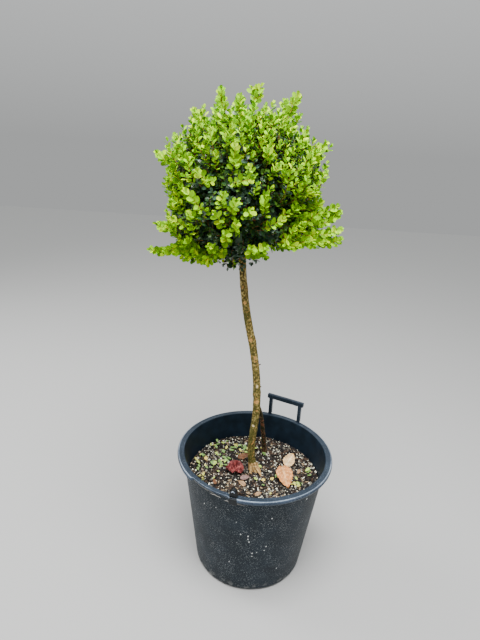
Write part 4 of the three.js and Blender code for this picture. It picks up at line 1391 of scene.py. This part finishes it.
fallen_colours = {
    name: speckles({f"leaf_{name}": blade, f"vein_{name}": vein}, roughness=0.6, spread=0.3, scale=90)
    for name, blade, vein in (
        ("red", (0.105, 0.011, 0.011), (0.27, 0.055, 0.048)),
        ("brown", (0.15, 0.062, 0.024), (0.10, 0.040, 0.018)),
        ("mauve", (0.17, 0.095, 0.085), (0.24, 0.15, 0.13)),
        ("tan", (0.36, 0.22, 0.11), (0.25, 0.13, 0.06)),
        ("peach", (0.66, 0.42, 0.19), (0.80, 0.60, 0.36)),
        ("orange", (0.55, 0.22, 0.065), (0.72, 0.38, 0.16)),
        ("yellow", (0.70, 0.50, 0.10), (0.50, 0.42, 0.08)),
    )
}
shed_colours = speckles({
    "shed_lime": (0.42, 0.56, 0.10), "shed_green": (0.17, 0.30, 0.075), "shed_yellow": (0.55, 0.52, 0.12),
}, roughness=0.6, scale=300)
scar_pale = speckled("scar_pale", (0.66, 0.52, 0.28))
scar_orange = speckled("scar_orange", (0.52, 0.28, 0.085), spread=0.5)
trunk_bark = bark_material(
    "trunk_bark",
    [
        (0.36, (0.042, 0.031, 0.009)), (0.46, (0.115, 0.084, 0.021)), (0.55, (0.28, 0.20, 0.050)),
        (0.66, (0.56, 0.43, 0.17)),
    ],
    (0.060, 0.063, 0.011), (0.40, 0.21, 0.062), 0.62, 0.60,
)
root_bark = bark_material(
    "root_bark",
    [(0.38, (0.10, 0.055, 0.020)), (0.50, (0.40, 0.24, 0.085)), (0.62, (0.72, 0.52, 0.26))],
    (0.38, 0.22, 0.080), (0.60, 0.36, 0.14),
)
second_bark = bark_material(
    "second_stem_bark",
    [(0.40, (0.020, 0.014, 0.008)), (0.52, (0.075, 0.052, 0.026)), (0.66, (0.20, 0.14, 0.075))],
    (0.030, 0.038, 0.012), (0.20, 0.075, 0.040), 0.56,
)
twig_bark = speckled("twig_bark", (0.36, 0.15, 0.045), scale=90)
leaf_materials = {kind: leaf_material(kind) for kind in LEAF_COLOURS}

# The build. Everything random is drawn in this order.

make_pot()
make_shreds()
make_specks()
make_handle()
make_stump()
make_soil()
make_chips("bark_chips", CHIP_COUNT, CHIP_SIZES, (0.18, 0.4), chip_colours, (0.60, 0.25, 0.07, 0.08))
make_chips("grit", GRIT_COUNT, GRIT_SIZES, (0.5, 0.9), grit_colours, (0.27, 0.10, 0.11, 0.52), bumpiness=0.3)
make_fallen_leaves()
make_shed_leaves()
make_stems()
make_crown()
make_floor()
make_sky()
make_lamps()
make_camera()
